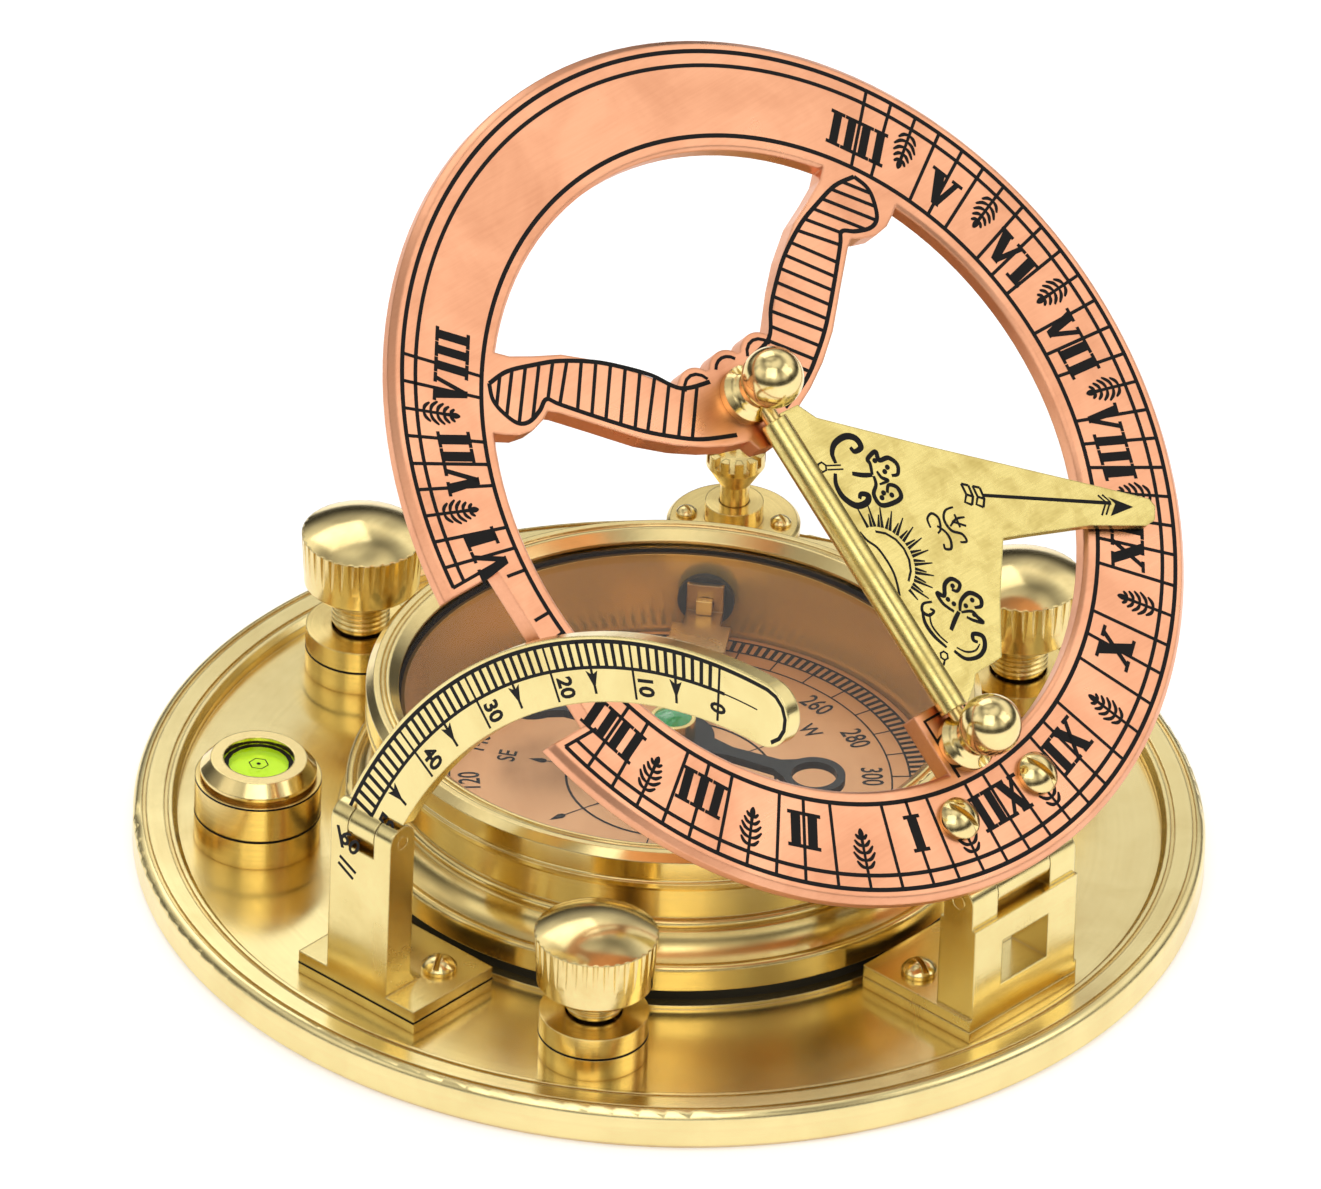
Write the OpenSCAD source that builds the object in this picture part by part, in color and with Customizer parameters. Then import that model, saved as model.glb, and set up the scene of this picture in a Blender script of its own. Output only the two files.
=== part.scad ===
// Sundial compass: a brass magnetic compass under a hinged copper hour ring with a folding gnomon,
// a hinged latitude arc, a round spirit level and three levelling thumb screws.
// Frame: +Z up, origin at the centre of the base's underside. The hour ring is hinged at -Y (the XII
// side), the latitude arc stands at -X, and the folded gnomon points to +X. Millimetres and degrees.

/* [Base] */
// Diameter of the round base
base_d = 127; // [122:1:136]
// Height of the raised rim
rim_h = 5.2; // [4.8:0.1:6.5]
// Width of the raised rim
rim_w = 5.2; // [4:0.1:6]
// Thickness of the sunk deck
deck_t = 3.6; // [3:0.1:4.2]

/* [Compass box] */
// Width of the deck between the rim and the wall of the box
deck_w = 23.8; // [22.8:0.1:25]
// Thickness of the box wall
box_wall = 2.7; // [2:0.1:3.4]
// Height of the box body, from its foot to the seat of the glass
box_h = 14.5; // [13:0.5:18]
// Thickness of the black gasket under the box
gasket_t = 1.6; // [1:0.1:2.4]
// How far the moulded foot stands out from the wall
foot_out = 4; // [3:0.1:4.6]
// Thickness of the glass
glass_t = 1.6; // [1.2:0.1:2]
// How far the bezel stands out from the wall
bezel_out = 1.9; // [1:0.1:3]
// Height of the bezel above the glass
bezel_lip = 1.4; // [1:0.1:2]

/* [Needle] */
// Distance from the pivot to the middle of a needle ring
needle_reach = 18.4; // [13:0.1:21]
// Outer diameter of the ring at each end of the needle
needle_ring_d = 7.4; // [6:0.1:8]
// Diameter of the black hub
hub_d = 10; // [7.4:0.2:12]
// Diameter of the green jewel
jewel_d = 4.4; // [3.4:0.1:4.6]
// How far the needle lifter travels
lift_travel = 0.6; // [0.3:0.1:0.7]

/* [Hour ring] */
// How far the edge of the hour ring reaches past the pin of its hinge
dial_over = 0.9; // [0.5:0.1:2]
// Width of the hour band
band_w = 14; // [12.5:0.1:15]
// Thickness of the hour ring
dial_t = 2.5; // [2:0.1:3]
// Gap from the bezel to the ring when the ring lies flat
dial_gap = 1.8; // [1.6:0.1:3]
// Tilt of the ring as the photograph shows it
dial_tilt = 41.6; // [0:0.2:60]

/* [Gnomon] */
// Diameter of the ball on each gnomon post
ball_d = 7.4; // [6.4:0.1:7.8]
// Height of the ball centres above the ring
ball_h = 6.1; // [6.1:0.1:9]
// Diameter of the gnomon rod
rod_d = 2; // [1.6:0.1:2.2]
// Thickness of the gnomon plate
gnomon_t = 1.2; // [0.8:0.1:1.6]

/* [Latitude arc] */
// How much the arc's mean radius exceeds the distance from the middle of the base to the ring's hinge
arc_over = 4.7; // [4:0.1:6]
// Width of the arc
arc_w = 8; // [7:0.1:8.6]
// Thickness of the arc
arc_t = 2; // [1.6:0.1:2.4]
// How far the arc leans in over the base
arc_lean = 7; // [3:0.5:7.5]
// Angle on the arc's own circle at which its tip ends
arc_tip_deg = 91; // [80:1:95]

/* [Levelling screws] */
// Diameter of the knurled heads
head_d = 14.6; // [13:0.2:16]
// Height of a head, dome and all
head_h = 8.8; // [6.8:0.2:9.4]
// Number of flutes round a head
flutes = 36; // [24:2:44]
// Diameter of the collar under each head
collar_d = 13; // [11:0.2:13.6]
// Diameter of the threaded stem
stem_d = 4.8; // [4:0.1:5.4]
// How far a screw can be raised from rest
stem_up = 0.7; // [0.2:0.1:1]

/* [Spirit level] */
// Diameter of the level
level_d = 15; // [14:0.2:17]
// Height of the level above the deck
level_h = 11; // [10.4:0.2:13]
// Diameter of the level's window
window_d = 8.4; // [7:0.2:9]

/* [Rest pillar] */
// Diameter of the flange that carries the pillar
flange_d = 16; // [14:0.2:17]
// Diameter of the pillar's cup
cup_d = 7.1; // [6:0.1:8]

/* [Brackets] */
// Length of the arc bracket's foot
arc_foot_l = 18.4; // [16:0.2:22]
// Width of the arc bracket's post
post_w = 9.4; // [8.8:0.2:12]
// Diameter of the hinge barrel on the arc bracket
arc_barrel_d = 4.2; // [4:0.1:5]
// Width of the block under the hour ring's hinge
block_w = 17.8; // [16:0.2:20]
// Diameter of the hinge barrel on that block
ring_barrel_d = 4.6; // [4:0.1:4.8]
// Thickness of each of the two layers of a foot
layer_t = 1.5; // [1.2:0.1:1.8]

/* [Hidden] */

$fn = 96;
eps = 0.01;
// clearance of a running fit and of a screw in its hole, on the radius
fit = 0.06;
// gap that shows as a dark line between two stacked layers
seam = 0.2;
// gap kept between neighbours that never touch
air = 0.9;

brass = "#d9b45b";
bright_brass = "#e8cf86";
copper = "#e3a184";

// base
base_r = base_d / 2;
deck_r = base_r - rim_w;
seat_h = 0.5;
groove_w = 0.5;
rim_round = 1.1;
base_chamfer = 0.8;

// compass box
gasket_z = deck_t + seat_h;
box_z = gasket_z + gasket_t;
box_r = deck_r - deck_w;
seat_r = box_r + foot_out + 0.8;
bore_r = box_r - box_wall;
foot_r = box_r + foot_out;
foot_h = 2.6;
cove_r = 3.6;
bead_r = 0.7;
floor_t = 2.9;
floor_z = box_z + floor_t;
glass_z = box_z + box_h;
spigot_h = 2.6;
spigot_t = box_wall * 0.5;
bezel_top = glass_z + glass_t + bezel_lip;
bezel_r = box_r + bezel_out;
glass_r = box_r - spigot_t - fit;
sight_r = bore_r + 0.7;
card_t = 0.8;
card_r = bore_r - 0.4;
clamp_r = 2;

// needle and pivot
pivot_r = 0.7;
lever_z = floor_z + 4.6;
lever_t = 0.6;
needle_z = lever_z + lever_t + lift_travel + 0.2;
needle_t = 1;
cap_r = jewel_d / 2 + 0.5;
cap_h = 2.6;
cap_z = needle_z + needle_t;
jewel_rise = 0.7;
needle_swing = -72;
lifter_deg = 35;
slot_r = 1;
washer_r = 3.4;
lever_hub_r = 3.4;
lever_pad_l = 5.5;
lever_pad_in = 3.5;

// heights that follow the box
ring_z = bezel_top + dial_gap;
leaf_t = 1.6;
leaf_drop = 2.8;
hinge_z = ring_z - leaf_drop;
hinge_r = deck_r - 4.8;
dial_r = hinge_r + dial_over;
dial_in_r = dial_r - band_w;
dial_top = leaf_drop + dial_t;
dial_edge = 0.7;

// latitude arc and its bracket
arc_foot_out = deck_r - 4.2;
arc_foot_gap = 2;
arc_foot_w = arc_foot_out - foot_r - arc_foot_gap;
arc_y = 0.3;
barrel_r = arc_barrel_d / 2;
pin_x = -(arc_foot_out - barrel_r);
pin_z = ring_z + 2.6;
arc_r = hinge_r + arc_over;
arc_root_deg = 17.4;
tongue_w = 4;
tongue_h = 2.9;
arc_pin_r = 0.8;
arc_reach_h = arc_r * 0.71;
notch_x = -pin_x - arc_reach_h * sin(arc_lean) - arc_t / 2 - 0.6;
notch_low = -14;
notch_high = 6.6;

// foot layers
lower_z = deck_t;
upper_z = deck_t + layer_t + seam / 2;
foot_top = upper_z + layer_t;

// ring hinge
knuckle_r = ring_barrel_d / 2;
ring_pin_r = 0.9;
leaf_knuckle = block_w / 2;
block_d = 5.6;
hinge_foot_w = block_w + 0.8;
hinge_foot_in = foot_r + air;
window_w = 8;
window_h = 6;

// levelling screws
screw_dirs = [91.5, 212, 345];
collar_r = collar_d / 2;
screw_circle = deck_r - 2.8 - collar_r;
collar_h = 2.9;
lock_h = 2.7;
collar_top = deck_t + collar_h + seam + lock_h;
stem_r = stem_d / 2;
neck_r = stem_r + 0.8;
neck_bore = neck_r + 0.2;
head_top = ring_z - stem_up - 0.2;
dome_h = 1.8;
// how far each head is turned down from its highest setting
screw_drop = [0, 2, 0];
head_z = head_top - head_h;
stem_tip = 0.4;
head_bore_h = 2.4;

// spirit level
level_dir = 138;
level_r = level_d / 2;
level_circle = deck_r - 1.8 - level_r;
level_base_h = 3.8;
level_cup_h = 4.6;
window_r = window_d / 2;

// rest pillar
pillar_dir = 34;
flange_r = flange_d / 2;
pillar_circle = max(deck_r - air - flange_r, (deck_r + foot_r) / 2);
pillar_foot_r = min(flange_r - 1.6, (deck_r - foot_r) / 2 - air);
flange_z = 13.4;
flange_t = 1.5;
flange_screw = 5.7;
boss_h = 2.6;
boss_r = 3.5;
pillar_r = 1.75;
pillar_top = ring_z - 0.2;
cup_r = cup_d / 2;

// gnomon: places on the hour ring, measured from its centre along the noon line
// inner radius of the ring for which its arms and the gnomon are drawn, and the size against that drawing
spider_r = 40.4;
grow = dial_in_r / spider_r;
post_in = 10 * grow;
post_out = -38 * grow;
post_gap = post_in - post_out;
rod_h = ball_h - 4.2;
roll_r = rod_d / 2 + 0.7;
gnomon_reach = 44 * grow;
gnomon_rest = 0.3;
gnomon_dip = asin((rod_h - gnomon_t / 2 - gnomon_rest) / gnomon_reach);
tab_w = 8.4;
tab_in = 8 * grow;
leaf_w = block_w + 2.2;

// dome: a spherical cap of radius r at its rim and height h
module cap(r, h) {
    big = (r * r + h * h) / (2 * h);
    intersection() {
        translate([0, 0, h - big]) sphere(big);
        cylinder(r = r, h = h);
    }
}

// slotted screw: cap head standing on z = 0, shank below it
module slotted(head_r, head_rise, shank_r, shank_l, turn = 0) {
    slot_w = head_r * 0.3;
    difference() {
        union() {
            cylinder(r = head_r, h = head_rise * 0.35);
            translate([0, 0, head_rise * 0.35 - eps]) cap(head_r, head_rise * 0.65 + eps);
        }
        rotate([0, 0, turn]) translate([-head_r, -slot_w / 2, head_rise * 0.5])
            cube([2 * head_r, slot_w, head_rise]);
    }
    translate([0, 0, -shank_l]) cylinder(r = shank_r, h = shank_l + eps);
}

// place children at a distance and direction from the middle
module polar(dir, dist) {
    rotate([0, 0, dir]) translate([dist, 0, 0]) children();
}

// local frame of the hour ring: x and y from the ring's centre, z from the hinge axis
module on_dial() {
    translate([0, -hinge_r, hinge_z]) rotate([dial_tilt, 0, 0]) translate([0, hinge_r, 0]) children();
}

// local frame of the latitude arc: x along the meridian, y up the arc, z across its thickness
module on_arc() {
    translate([pin_x, arc_y, pin_z]) rotate([0, arc_lean, 0]) rotate([90, 0, 90]) children();
}

// foot screw places
foot_screw_r = 1.2;
foot_head_r = 2.1;
foot_head_h = 1.7;
arc_screw_x = -(2 * arc_foot_out - 2 * barrel_r - arc_foot_w) / 2;
arc_screw_dy = arc_foot_l / 2 - 4.2;
hinge_screw_x = hinge_foot_w / 2 - 3.6;
hinge_screw_y = -(hinge_foot_in + 5.6);
foot_screw_l = foot_top - 1;
flange_screw_r = 0.7;

// round holes of the two feet and of everything else that enters the deck
module foot_screw_places() {
    for (s = [-1, 1]) translate([arc_screw_x, arc_y + s * arc_screw_dy, 0]) children();
    for (s = [-1, 1]) translate([s * hinge_screw_x, hinge_screw_y, 0]) children();
}

module base_plate() {
    lip_w = 0.6;
    color(bright_brass) difference() {
        rotate_extrude() difference() {
            union() {
                polygon([
                    [0, 0], [base_r - base_chamfer, 0], [base_r, base_chamfer], [base_r, rim_h - rim_round],
                    [base_r - rim_round, rim_h], [deck_r + lip_w, rim_h], [deck_r, rim_h - lip_w], [deck_r, deck_t],
                    [seat_r, deck_t], [seat_r, gasket_z], [0, gasket_z]
                ]);
                translate([base_r - rim_round, rim_h - rim_round]) circle(rim_round);
            }
            for (k = [0.25, 0.75]) translate([deck_r + k * rim_w - groove_w / 2, rim_h - 0.35])
                square([groove_w, 1]);
        }
        for (dir = screw_dirs) polar(dir, screw_circle) translate([0, 0, -1])
            cylinder(r = stem_r + fit, h = rim_h + 2);
        translate([0, 0, 1]) foot_screw_places() cylinder(r = foot_screw_r + fit, h = rim_h);
        translate([0, 0, -1]) cylinder(r = clamp_r + fit, h = rim_h + 2);
        translate([0, 0, -eps]) cylinder(r1 = clamp_r * 2 + fit, r2 = clamp_r + fit, h = clamp_r);
    }
}

module box_gasket() {
    color("#141414") translate([0, 0, gasket_z]) difference() {
        cylinder(r = foot_r - 0.6, h = gasket_t);
        translate([0, 0, -1]) cylinder(r = clamp_r * 3, h = gasket_t + 2);
    }
}

module box_screw() {
    color(brass) {
        translate([0, 0, 0.1]) cylinder(r1 = clamp_r * 2 - 0.1, r2 = clamp_r, h = clamp_r - 0.1);
        cylinder(r = clamp_r, h = box_z + floor_t / 2);
    }
}

module compass_box() {
    bore_floor = floor_z;
    color(brass) difference() {
        rotate_extrude() union() {
            difference() {
                polygon([
                    [0, box_z], [foot_r, box_z], [foot_r, box_z + foot_h], [box_r, box_z + foot_h + cove_r],
                    [box_r, glass_z - spigot_h], [box_r - spigot_t, glass_z - spigot_h],
                    [box_r - spigot_t, glass_z], [bore_r, glass_z], [bore_r, bore_floor], [0, bore_floor]
                ]);
                translate([foot_r, box_z + foot_h + cove_r]) circle(cove_r);
            }
            translate([foot_r - bead_r, box_z + foot_h]) circle(bead_r);
            translate([box_r, box_z + foot_h + cove_r + bead_r]) circle(bead_r);
        }
        translate([0, 0, box_z - 1]) cylinder(r = clamp_r + fit, h = 1 + floor_t / 2);
        translate([0, 0, box_z + floor_t / 2 + 0.2]) cylinder(r = pivot_r * 2 + fit, h = floor_t);
        polar(lifter_deg, 0) hull() for (up = [0, lift_travel]) translate([box_r - 2 * box_wall, 0, lever_z + 1.6 + up])
            rotate([0, 90, 0]) cylinder(r = slot_r + 0.2, h = 4 * box_wall, $fn = 32);
    }
}

module bezel_ring() {
    skirt_z = glass_z - spigot_h + 0.15;
    step = 0.9;
    color(bright_brass) rotate_extrude() difference() {
        polygon([
            [box_r - spigot_t + fit, skirt_z], [bezel_r - step, skirt_z], [bezel_r, skirt_z + step],
            [bezel_r, bezel_top - step], [bezel_r - step, bezel_top], [sight_r + 1.2, bezel_top],
            [sight_r, bezel_top - 1.0], [sight_r, glass_z + glass_t + 0.02], [box_r - spigot_t + fit, glass_z + glass_t + 0.02]
        ]);
        translate([sight_r + 1.9, bezel_top]) circle(0.35);
        translate([bezel_r, skirt_z + 1.9]) circle(0.3);
    }
}

module box_glass() {
    color([0.9, 0.95, 0.95, 0.35]) translate([0, 0, glass_z]) cylinder(r = glass_r, h = glass_t);
}

module dial_card() {
    color(copper) translate([0, 0, floor_z]) difference() {
        cylinder(r = card_r, h = card_t);
        translate([0, 0, -1]) cylinder(r = pivot_r * 3, h = card_t + 2);
    }
}

module pivot_pin() {
    foot_z = box_z + floor_t / 2 + 0.3;
    color(brass) {
        translate([0, 0, foot_z]) cylinder(r = pivot_r * 2, h = lever_z - 1.2 - foot_z);
        translate([0, 0, floor_z]) cylinder(r = pivot_r * 3 - 0.3, h = 1.6);
        translate([0, 0, foot_z]) cylinder(r = pivot_r, h = cap_z + 0.4 - foot_z);
        translate([0, 0, cap_z + 0.4 - eps]) cylinder(r1 = pivot_r, r2 = 0.1, h = 1);
    }
}

module needle() {
    ring_r = needle_ring_d / 2;
    hole_r = ring_r - 1;
    waist = 0.9;
    hub_r = hub_d / 2;
    color("#101010") translate([0, 0, needle_z]) rotate([0, 0, needle_swing]) difference() {
        linear_extrude(needle_t) difference() {
            union() {
                circle(hub_r);
                for (s = [-1, 1]) {
                    polygon([
                        [s * hub_r * 0.7, -waist * 2.2], [s * hub_r * 1.5, -waist], [s * (needle_reach - ring_r * 1.3), -waist * 1.2],
                        [s * (needle_reach - ring_r * 0.4), -ring_r * 0.8], [s * (needle_reach - ring_r * 0.4), ring_r * 0.8],
                        [s * (needle_reach - ring_r * 1.3), waist * 1.2], [s * hub_r * 1.5, waist], [s * hub_r * 0.7, waist * 2.2]
                    ]);
                    translate([s * needle_reach, 0]) circle(ring_r);
                }
            }
            for (s = [-1, 1]) translate([s * needle_reach, 0]) circle(hole_r);
        }
        translate([0, 0, -1]) cylinder(r = pivot_r + fit, h = needle_t + 2);
    }
}

module needle_cap() {
    color(brass) translate([0, 0, cap_z]) difference() {
        cylinder(r = cap_r, h = cap_h);
        translate([0, 0, -1]) cylinder(r = pivot_r + fit, h = 1.5);
        translate([0, 0, 0.5 - eps]) cylinder(r1 = pivot_r + fit, r2 = 0.15, h = 1.1);
        translate([0, 0, cap_h - 0.6]) cylinder(r = jewel_d / 2, h = 1);
    }
}

module needle_jewel() {
    color("#0a8a3a") translate([0, 0, cap_z + cap_h - 0.6]) {
        cylinder(r = jewel_d / 2 - 0.02, h = 0.6);
        translate([0, 0, 0.6 - eps]) cap(jewel_d / 2 - 0.02, jewel_rise);
    }
}

module lift_lever() {
    tail_r = bore_r - 1.6;
    strip_w = 4.4;
    color("#8a6a3c") polar(lifter_deg, 0) {
        translate([0, 0, lever_z]) difference() {
            union() {
                cylinder(r = lever_hub_r, h = lever_t);
                translate([0, -strip_w / 2, 0]) cube([tail_r, strip_w, lever_t]);
                translate([tail_r - lever_pad_in - lever_pad_l, -strip_w * 0.8, 0])
                    cube([lever_pad_l, strip_w * 1.6, lever_t]);
            }
            translate([0, 0, -1]) cylinder(r = pivot_r * 2 + 0.4, h = lever_t + 2);
        }
        difference() {
            translate([tail_r - lever_t, -strip_w / 2, lever_z]) cube([lever_t, strip_w, 4.2]);
            translate([tail_r - 2, 0, lever_z + 1.6]) rotate([0, 90, 0]) cylinder(r = slot_r + fit, h = 4);
        }
    }
}

module lift_washer() {
    color("#161616") polar(lifter_deg, 0) translate([bore_r - 1.6, 0, lever_z + 1.6]) rotate([0, 90, 0]) difference() {
        cylinder(r = washer_r, h = 0.9);
        translate([0, 0, -1]) cylinder(r = slot_r + fit, h = 3);
    }
}

module lift_knob() {
    grip_x = box_r + bead_r + 0.3;
    stud_l = grip_x - bore_r + 3.4;
    tail_half = 0.95;
    grip_r = 2.2;
    grip_l = 3;
    nicks = 16;
    color(brass) polar(lifter_deg, 0) translate([0, 0, lever_z + 1.6]) {
        translate([bore_r - 2.9, 0, 0]) rotate([0, 90, 0]) cylinder(r = slot_r, h = stud_l);
        translate([bore_r - 3.2, -tail_half, -tail_half]) cube([0.99, 2 * tail_half, 2 * tail_half]);
        translate([grip_x, 0, 0]) rotate([0, 90, 0]) linear_extrude(grip_l) difference() {
            circle(grip_r);
            for (k = [0 : nicks - 1]) rotate(k * 360 / nicks) translate([grip_r, 0]) circle(0.3);
        }
    }
}

module at_level() {
    polar(level_dir, level_circle) translate([0, 0, deck_t]) children();
}

module level_base() {
    color(brass) at_level() {
        cylinder(r = level_r, h = level_base_h);
        translate([0, 0, level_base_h - eps]) cylinder(r = level_r - 0.6, h = seam + eps);
    }
}

module level_cup() {
    color(brass) at_level() translate([0, 0, level_base_h + seam]) difference() {
        cylinder(r = level_r, h = level_cup_h);
        translate([0, 0, 1.2]) cylinder(r = window_r + 0.8, h = level_cup_h);
    }
}

module level_bezel() {
    z0 = level_base_h + seam + level_cup_h;
    top_r = level_r - 0.6;
    rise = level_h - z0;
    lip = 0.9;
    color(bright_brass) at_level() translate([0, 0, z0]) rotate_extrude() difference() {
        union() {
            polygon([
                [window_r + 0.8, 0], [level_r - 1.1, 0], [level_r - 1.1, 0.5], [top_r, 0.5], [top_r, rise - lip * 1.6],
                [window_r + 1.5, rise], [window_r, rise], [window_r, rise - lip], [window_r + 0.8, rise - lip]
            ]);
            intersection() {
                translate([top_r - 2.4, rise - 2.4]) circle(2.4);
                translate([window_r + 0.8, 0.5]) square([level_r, rise]);
            }
        }
        translate([level_r, 0.2]) circle(0.7);
    }
}

module level_lens() {
    color([0.85, 1, 0.5, 0.4]) at_level() translate([0, 0, level_h - 1.9]) cylinder(r = window_r + 0.75, h = 0.98);
}

module level_liquid() {
    z0 = level_base_h + seam + 1.22;
    color("#b8f000") at_level() translate([0, 0, z0]) cylinder(r = window_r + 0.75, h = level_h - 1.92 - z0);
}

module screw_collar(i) {
    color(brass) polar(screw_dirs[i], screw_circle) translate([0, 0, deck_t]) difference() {
        union() {
            cylinder(r = collar_r, h = collar_h);
            translate([0, 0, collar_h - eps]) cylinder(r = collar_r - 0.6, h = seam + eps);
        }
        translate([0, 0, -1]) cylinder(r = neck_bore, h = collar_h + 2);
    }
}

module lock_ring(i) {
    color(brass) polar(screw_dirs[i], screw_circle) translate([0, 0, deck_t + collar_h + seam]) difference() {
        cylinder(r = collar_r, h = lock_h);
        translate([0, 0, -1]) cylinder(r = neck_bore, h = lock_h + 2);
    }
}

module screw_stem(i) {
    color(brass) polar(screw_dirs[i], screw_circle) {
        translate([0, 0, stem_tip]) cylinder(r = stem_r, h = collar_top + 0.5 - stem_tip);
        translate([0, 0, collar_top + 0.4]) cylinder(r = neck_r, h = head_z - screw_drop[i] - collar_top - 0.45);
        translate([0, 0, head_z - screw_drop[i] - 0.1]) cylinder(r = stem_r * 0.8, h = head_bore_h);
    }
}

module screw_head(i) {
    rim_r = head_d / 2;
    skirt_h = head_h - dome_h;
    flute_r = PI * rim_r / flutes * 0.5;
    taper = 0.4;
    color(bright_brass) polar(screw_dirs[i], screw_circle) translate([0, 0, head_z - screw_drop[i]]) difference() {
        union() {
            intersection() {
                linear_extrude(skirt_h) difference() {
                    circle(rim_r);
                    for (k = [0 : flutes - 1]) rotate(k * 360 / flutes) translate([rim_r + flute_r * 0.1, 0])
                        circle(flute_r, $fn = 24);
                }
                rotate_extrude() polygon([
                    [0, 0], [rim_r - taper - 0.5, 0], [rim_r - taper, 0.5], [rim_r, skirt_h], [0, skirt_h]
                ]);
            }
            translate([0, 0, skirt_h - eps]) cap(rim_r, dome_h + eps);
        }
        translate([0, 0, -1]) cylinder(r = stem_r * 0.8 + fit, h = 1 + head_bore_h);
    }
}

module at_pillar() {
    polar(pillar_dir, pillar_circle) children();
}

module rest_pedestal() {
    foot_edge = pillar_foot_r;
    waist = 4.4;
    color(brass) at_pillar() difference() {
        rotate_extrude() difference() {
            polygon([
                [0, deck_t], [foot_edge, deck_t], [foot_edge, deck_t + 1.6], [waist, deck_t + 1.6], [waist, flange_z - 2.6],
                [flange_r, flange_z], [flange_r, flange_z + flange_t - 0.4], [flange_r - 0.4, flange_z + flange_t],
                [boss_r, flange_z + flange_t], [boss_r, flange_z + flange_t + boss_h], [0, flange_z + flange_t + boss_h]
            ]);
            translate([foot_edge, deck_t + 1.6 + 1.4]) circle(foot_edge - waist + 0.3);
        }
        translate([0, 0, flange_z - 2]) cylinder(r = pillar_r + fit, h = pillar_top);
        for (s = [-1, 1]) translate([0, s * flange_screw, flange_z - 0.6]) cylinder(r = flange_screw_r + fit, h = 5);
    }
}

module rest_pillar() {
    cup_z = pillar_top - 4.6;
    crown_h = 1.3;
    teeth = 12;
    color(brass) at_pillar() difference() {
        union() {
            translate([0, 0, flange_z - 1.9]) cylinder(r = pillar_r, h = cup_z + 2 - flange_z + 1.9);
            rotate_extrude() difference() {
                polygon([
                    [0, cup_z], [pillar_r + 0.2, cup_z], [cup_r, cup_z + 2.6], [cup_r, pillar_top], [0, pillar_top]
                ]);
                translate([cup_r + 1.1, cup_z + 0.5]) circle(1.5);
            }
        }
        translate([0, 0, pillar_top - crown_h]) cylinder(r = cup_r - 1, h = 3);
        for (k = [0 : teeth - 1]) rotate([0, 0, k * 360 / teeth]) translate([0, -0.35, pillar_top - crown_h])
            cube([cup_r + 1, 0.7, 3]);
    }
}

module rest_screws() {
    color(brass) at_pillar() for (s = [-1, 1]) translate([0, s * flange_screw, flange_z + flange_t])
        slotted(1.25, 1, flange_screw_r, 1.6, pillar_dir);
}

module arc_foot_outline() {
    translate([-arc_foot_out, arc_y - arc_foot_l / 2]) square([arc_foot_w, arc_foot_l]);
}

module arc_packing() {
    color(brass) difference() {
        translate([0, 0, lower_z]) linear_extrude(layer_t) arc_foot_outline();
        foot_screw_places() cylinder(r = foot_screw_r + fit, h = pin_z);
    }
}

module arc_bracket() {
    post_x = -arc_foot_out;
    gusset = arc_foot_out - 2 * barrel_r + arc_screw_x - foot_head_r - 0.2;
    slot_w = tongue_w + 0.3;
    color(bright_brass) difference() {
        union() {
            translate([0, 0, upper_z]) linear_extrude(layer_t) arc_foot_outline();
            translate([post_x, arc_y - post_w / 2, upper_z]) cube([2 * barrel_r, post_w, pin_z - upper_z]);
            translate([pin_x, arc_y - post_w / 2, pin_z]) rotate([-90, 0, 0]) cylinder(r = barrel_r, h = post_w);
            translate([post_x + 2 * barrel_r - eps, arc_y + post_w / 2, foot_top - eps]) rotate([90, 0, 0])
                linear_extrude(post_w) difference() {
                    square(gusset);
                    translate([gusset, gusset]) circle(gusset);
                }
        }
        translate([post_x - 1, arc_y - slot_w / 2, pin_z - barrel_r - 0.5])
            cube([2 * barrel_r + 2, slot_w, 3 * barrel_r]);
        translate([pin_x, arc_y - post_w, pin_z]) rotate([-90, 0, 0]) cylinder(r = arc_pin_r + 0.02, h = 2 * post_w);
        foot_screw_places() cylinder(r = foot_screw_r + fit, h = foot_top + 0.2);
    }
}

module arc_screws() {
    color(bright_brass) for (s = [-1, 1]) translate([arc_screw_x, arc_y + s * arc_screw_dy, foot_top])
        slotted(foot_head_r, foot_head_h, foot_screw_r, foot_screw_l - 0.2, 30);
}

module arc_pin() {
    color(brass) translate([pin_x, arc_y - post_w / 2, pin_z]) rotate([-90, 0, 0])
        cylinder(r = arc_pin_r, h = post_w);
}

module latitude_arc() {
    in_r = arc_r - arc_w / 2;
    out_r = arc_r + arc_w / 2;
    c = [-arc_r * cos(arc_root_deg), -arc_r * sin(arc_root_deg)];
    far = 2 * arc_r;
    tip_step = 0.03;
    color(bright_brass) difference() {
        union() {
            on_arc() translate([0, 0, -arc_t / 2]) linear_extrude(arc_t) {
                intersection() {
                    translate(c) difference() {
                        circle(out_r, $fn = 180);
                        circle(in_r, $fn = 180);
                    }
                    translate([c[0] - far, tongue_h]) square([far * 2, far]);
                    translate(c) polygon([
                        [0, 0], [far, 0], [far, far], [far * cos(arc_tip_deg), far * sin(arc_tip_deg)]
                    ]);
                }
                translate(c) rotate(arc_tip_deg - 0.1) translate([arc_r, 0]) circle(arc_w / 2 - tip_step);
                translate([-tongue_w / 2, 0]) square([tongue_w, tongue_h + 1.5]);
            }
            on_arc() rotate([0, -90, 0]) translate([0, 0, -tongue_w / 2]) cylinder(r = barrel_r, h = tongue_w);
        }
        on_arc() rotate([0, -90, 0]) translate([0, 0, -tongue_w]) cylinder(r = arc_pin_r + fit, h = 2 * tongue_w);
    }
}

module hinge_foot_outline() {
    translate([-hinge_foot_w / 2, -hinge_r - block_d / 2]) square([hinge_foot_w, hinge_r + block_d / 2 - hinge_foot_in]);
}

module hinge_packing() {
    color(brass) difference() {
        translate([0, 0, lower_z]) linear_extrude(layer_t) hinge_foot_outline();
        foot_screw_places() cylinder(r = foot_screw_r + fit, h = pin_z);
    }
}

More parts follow.
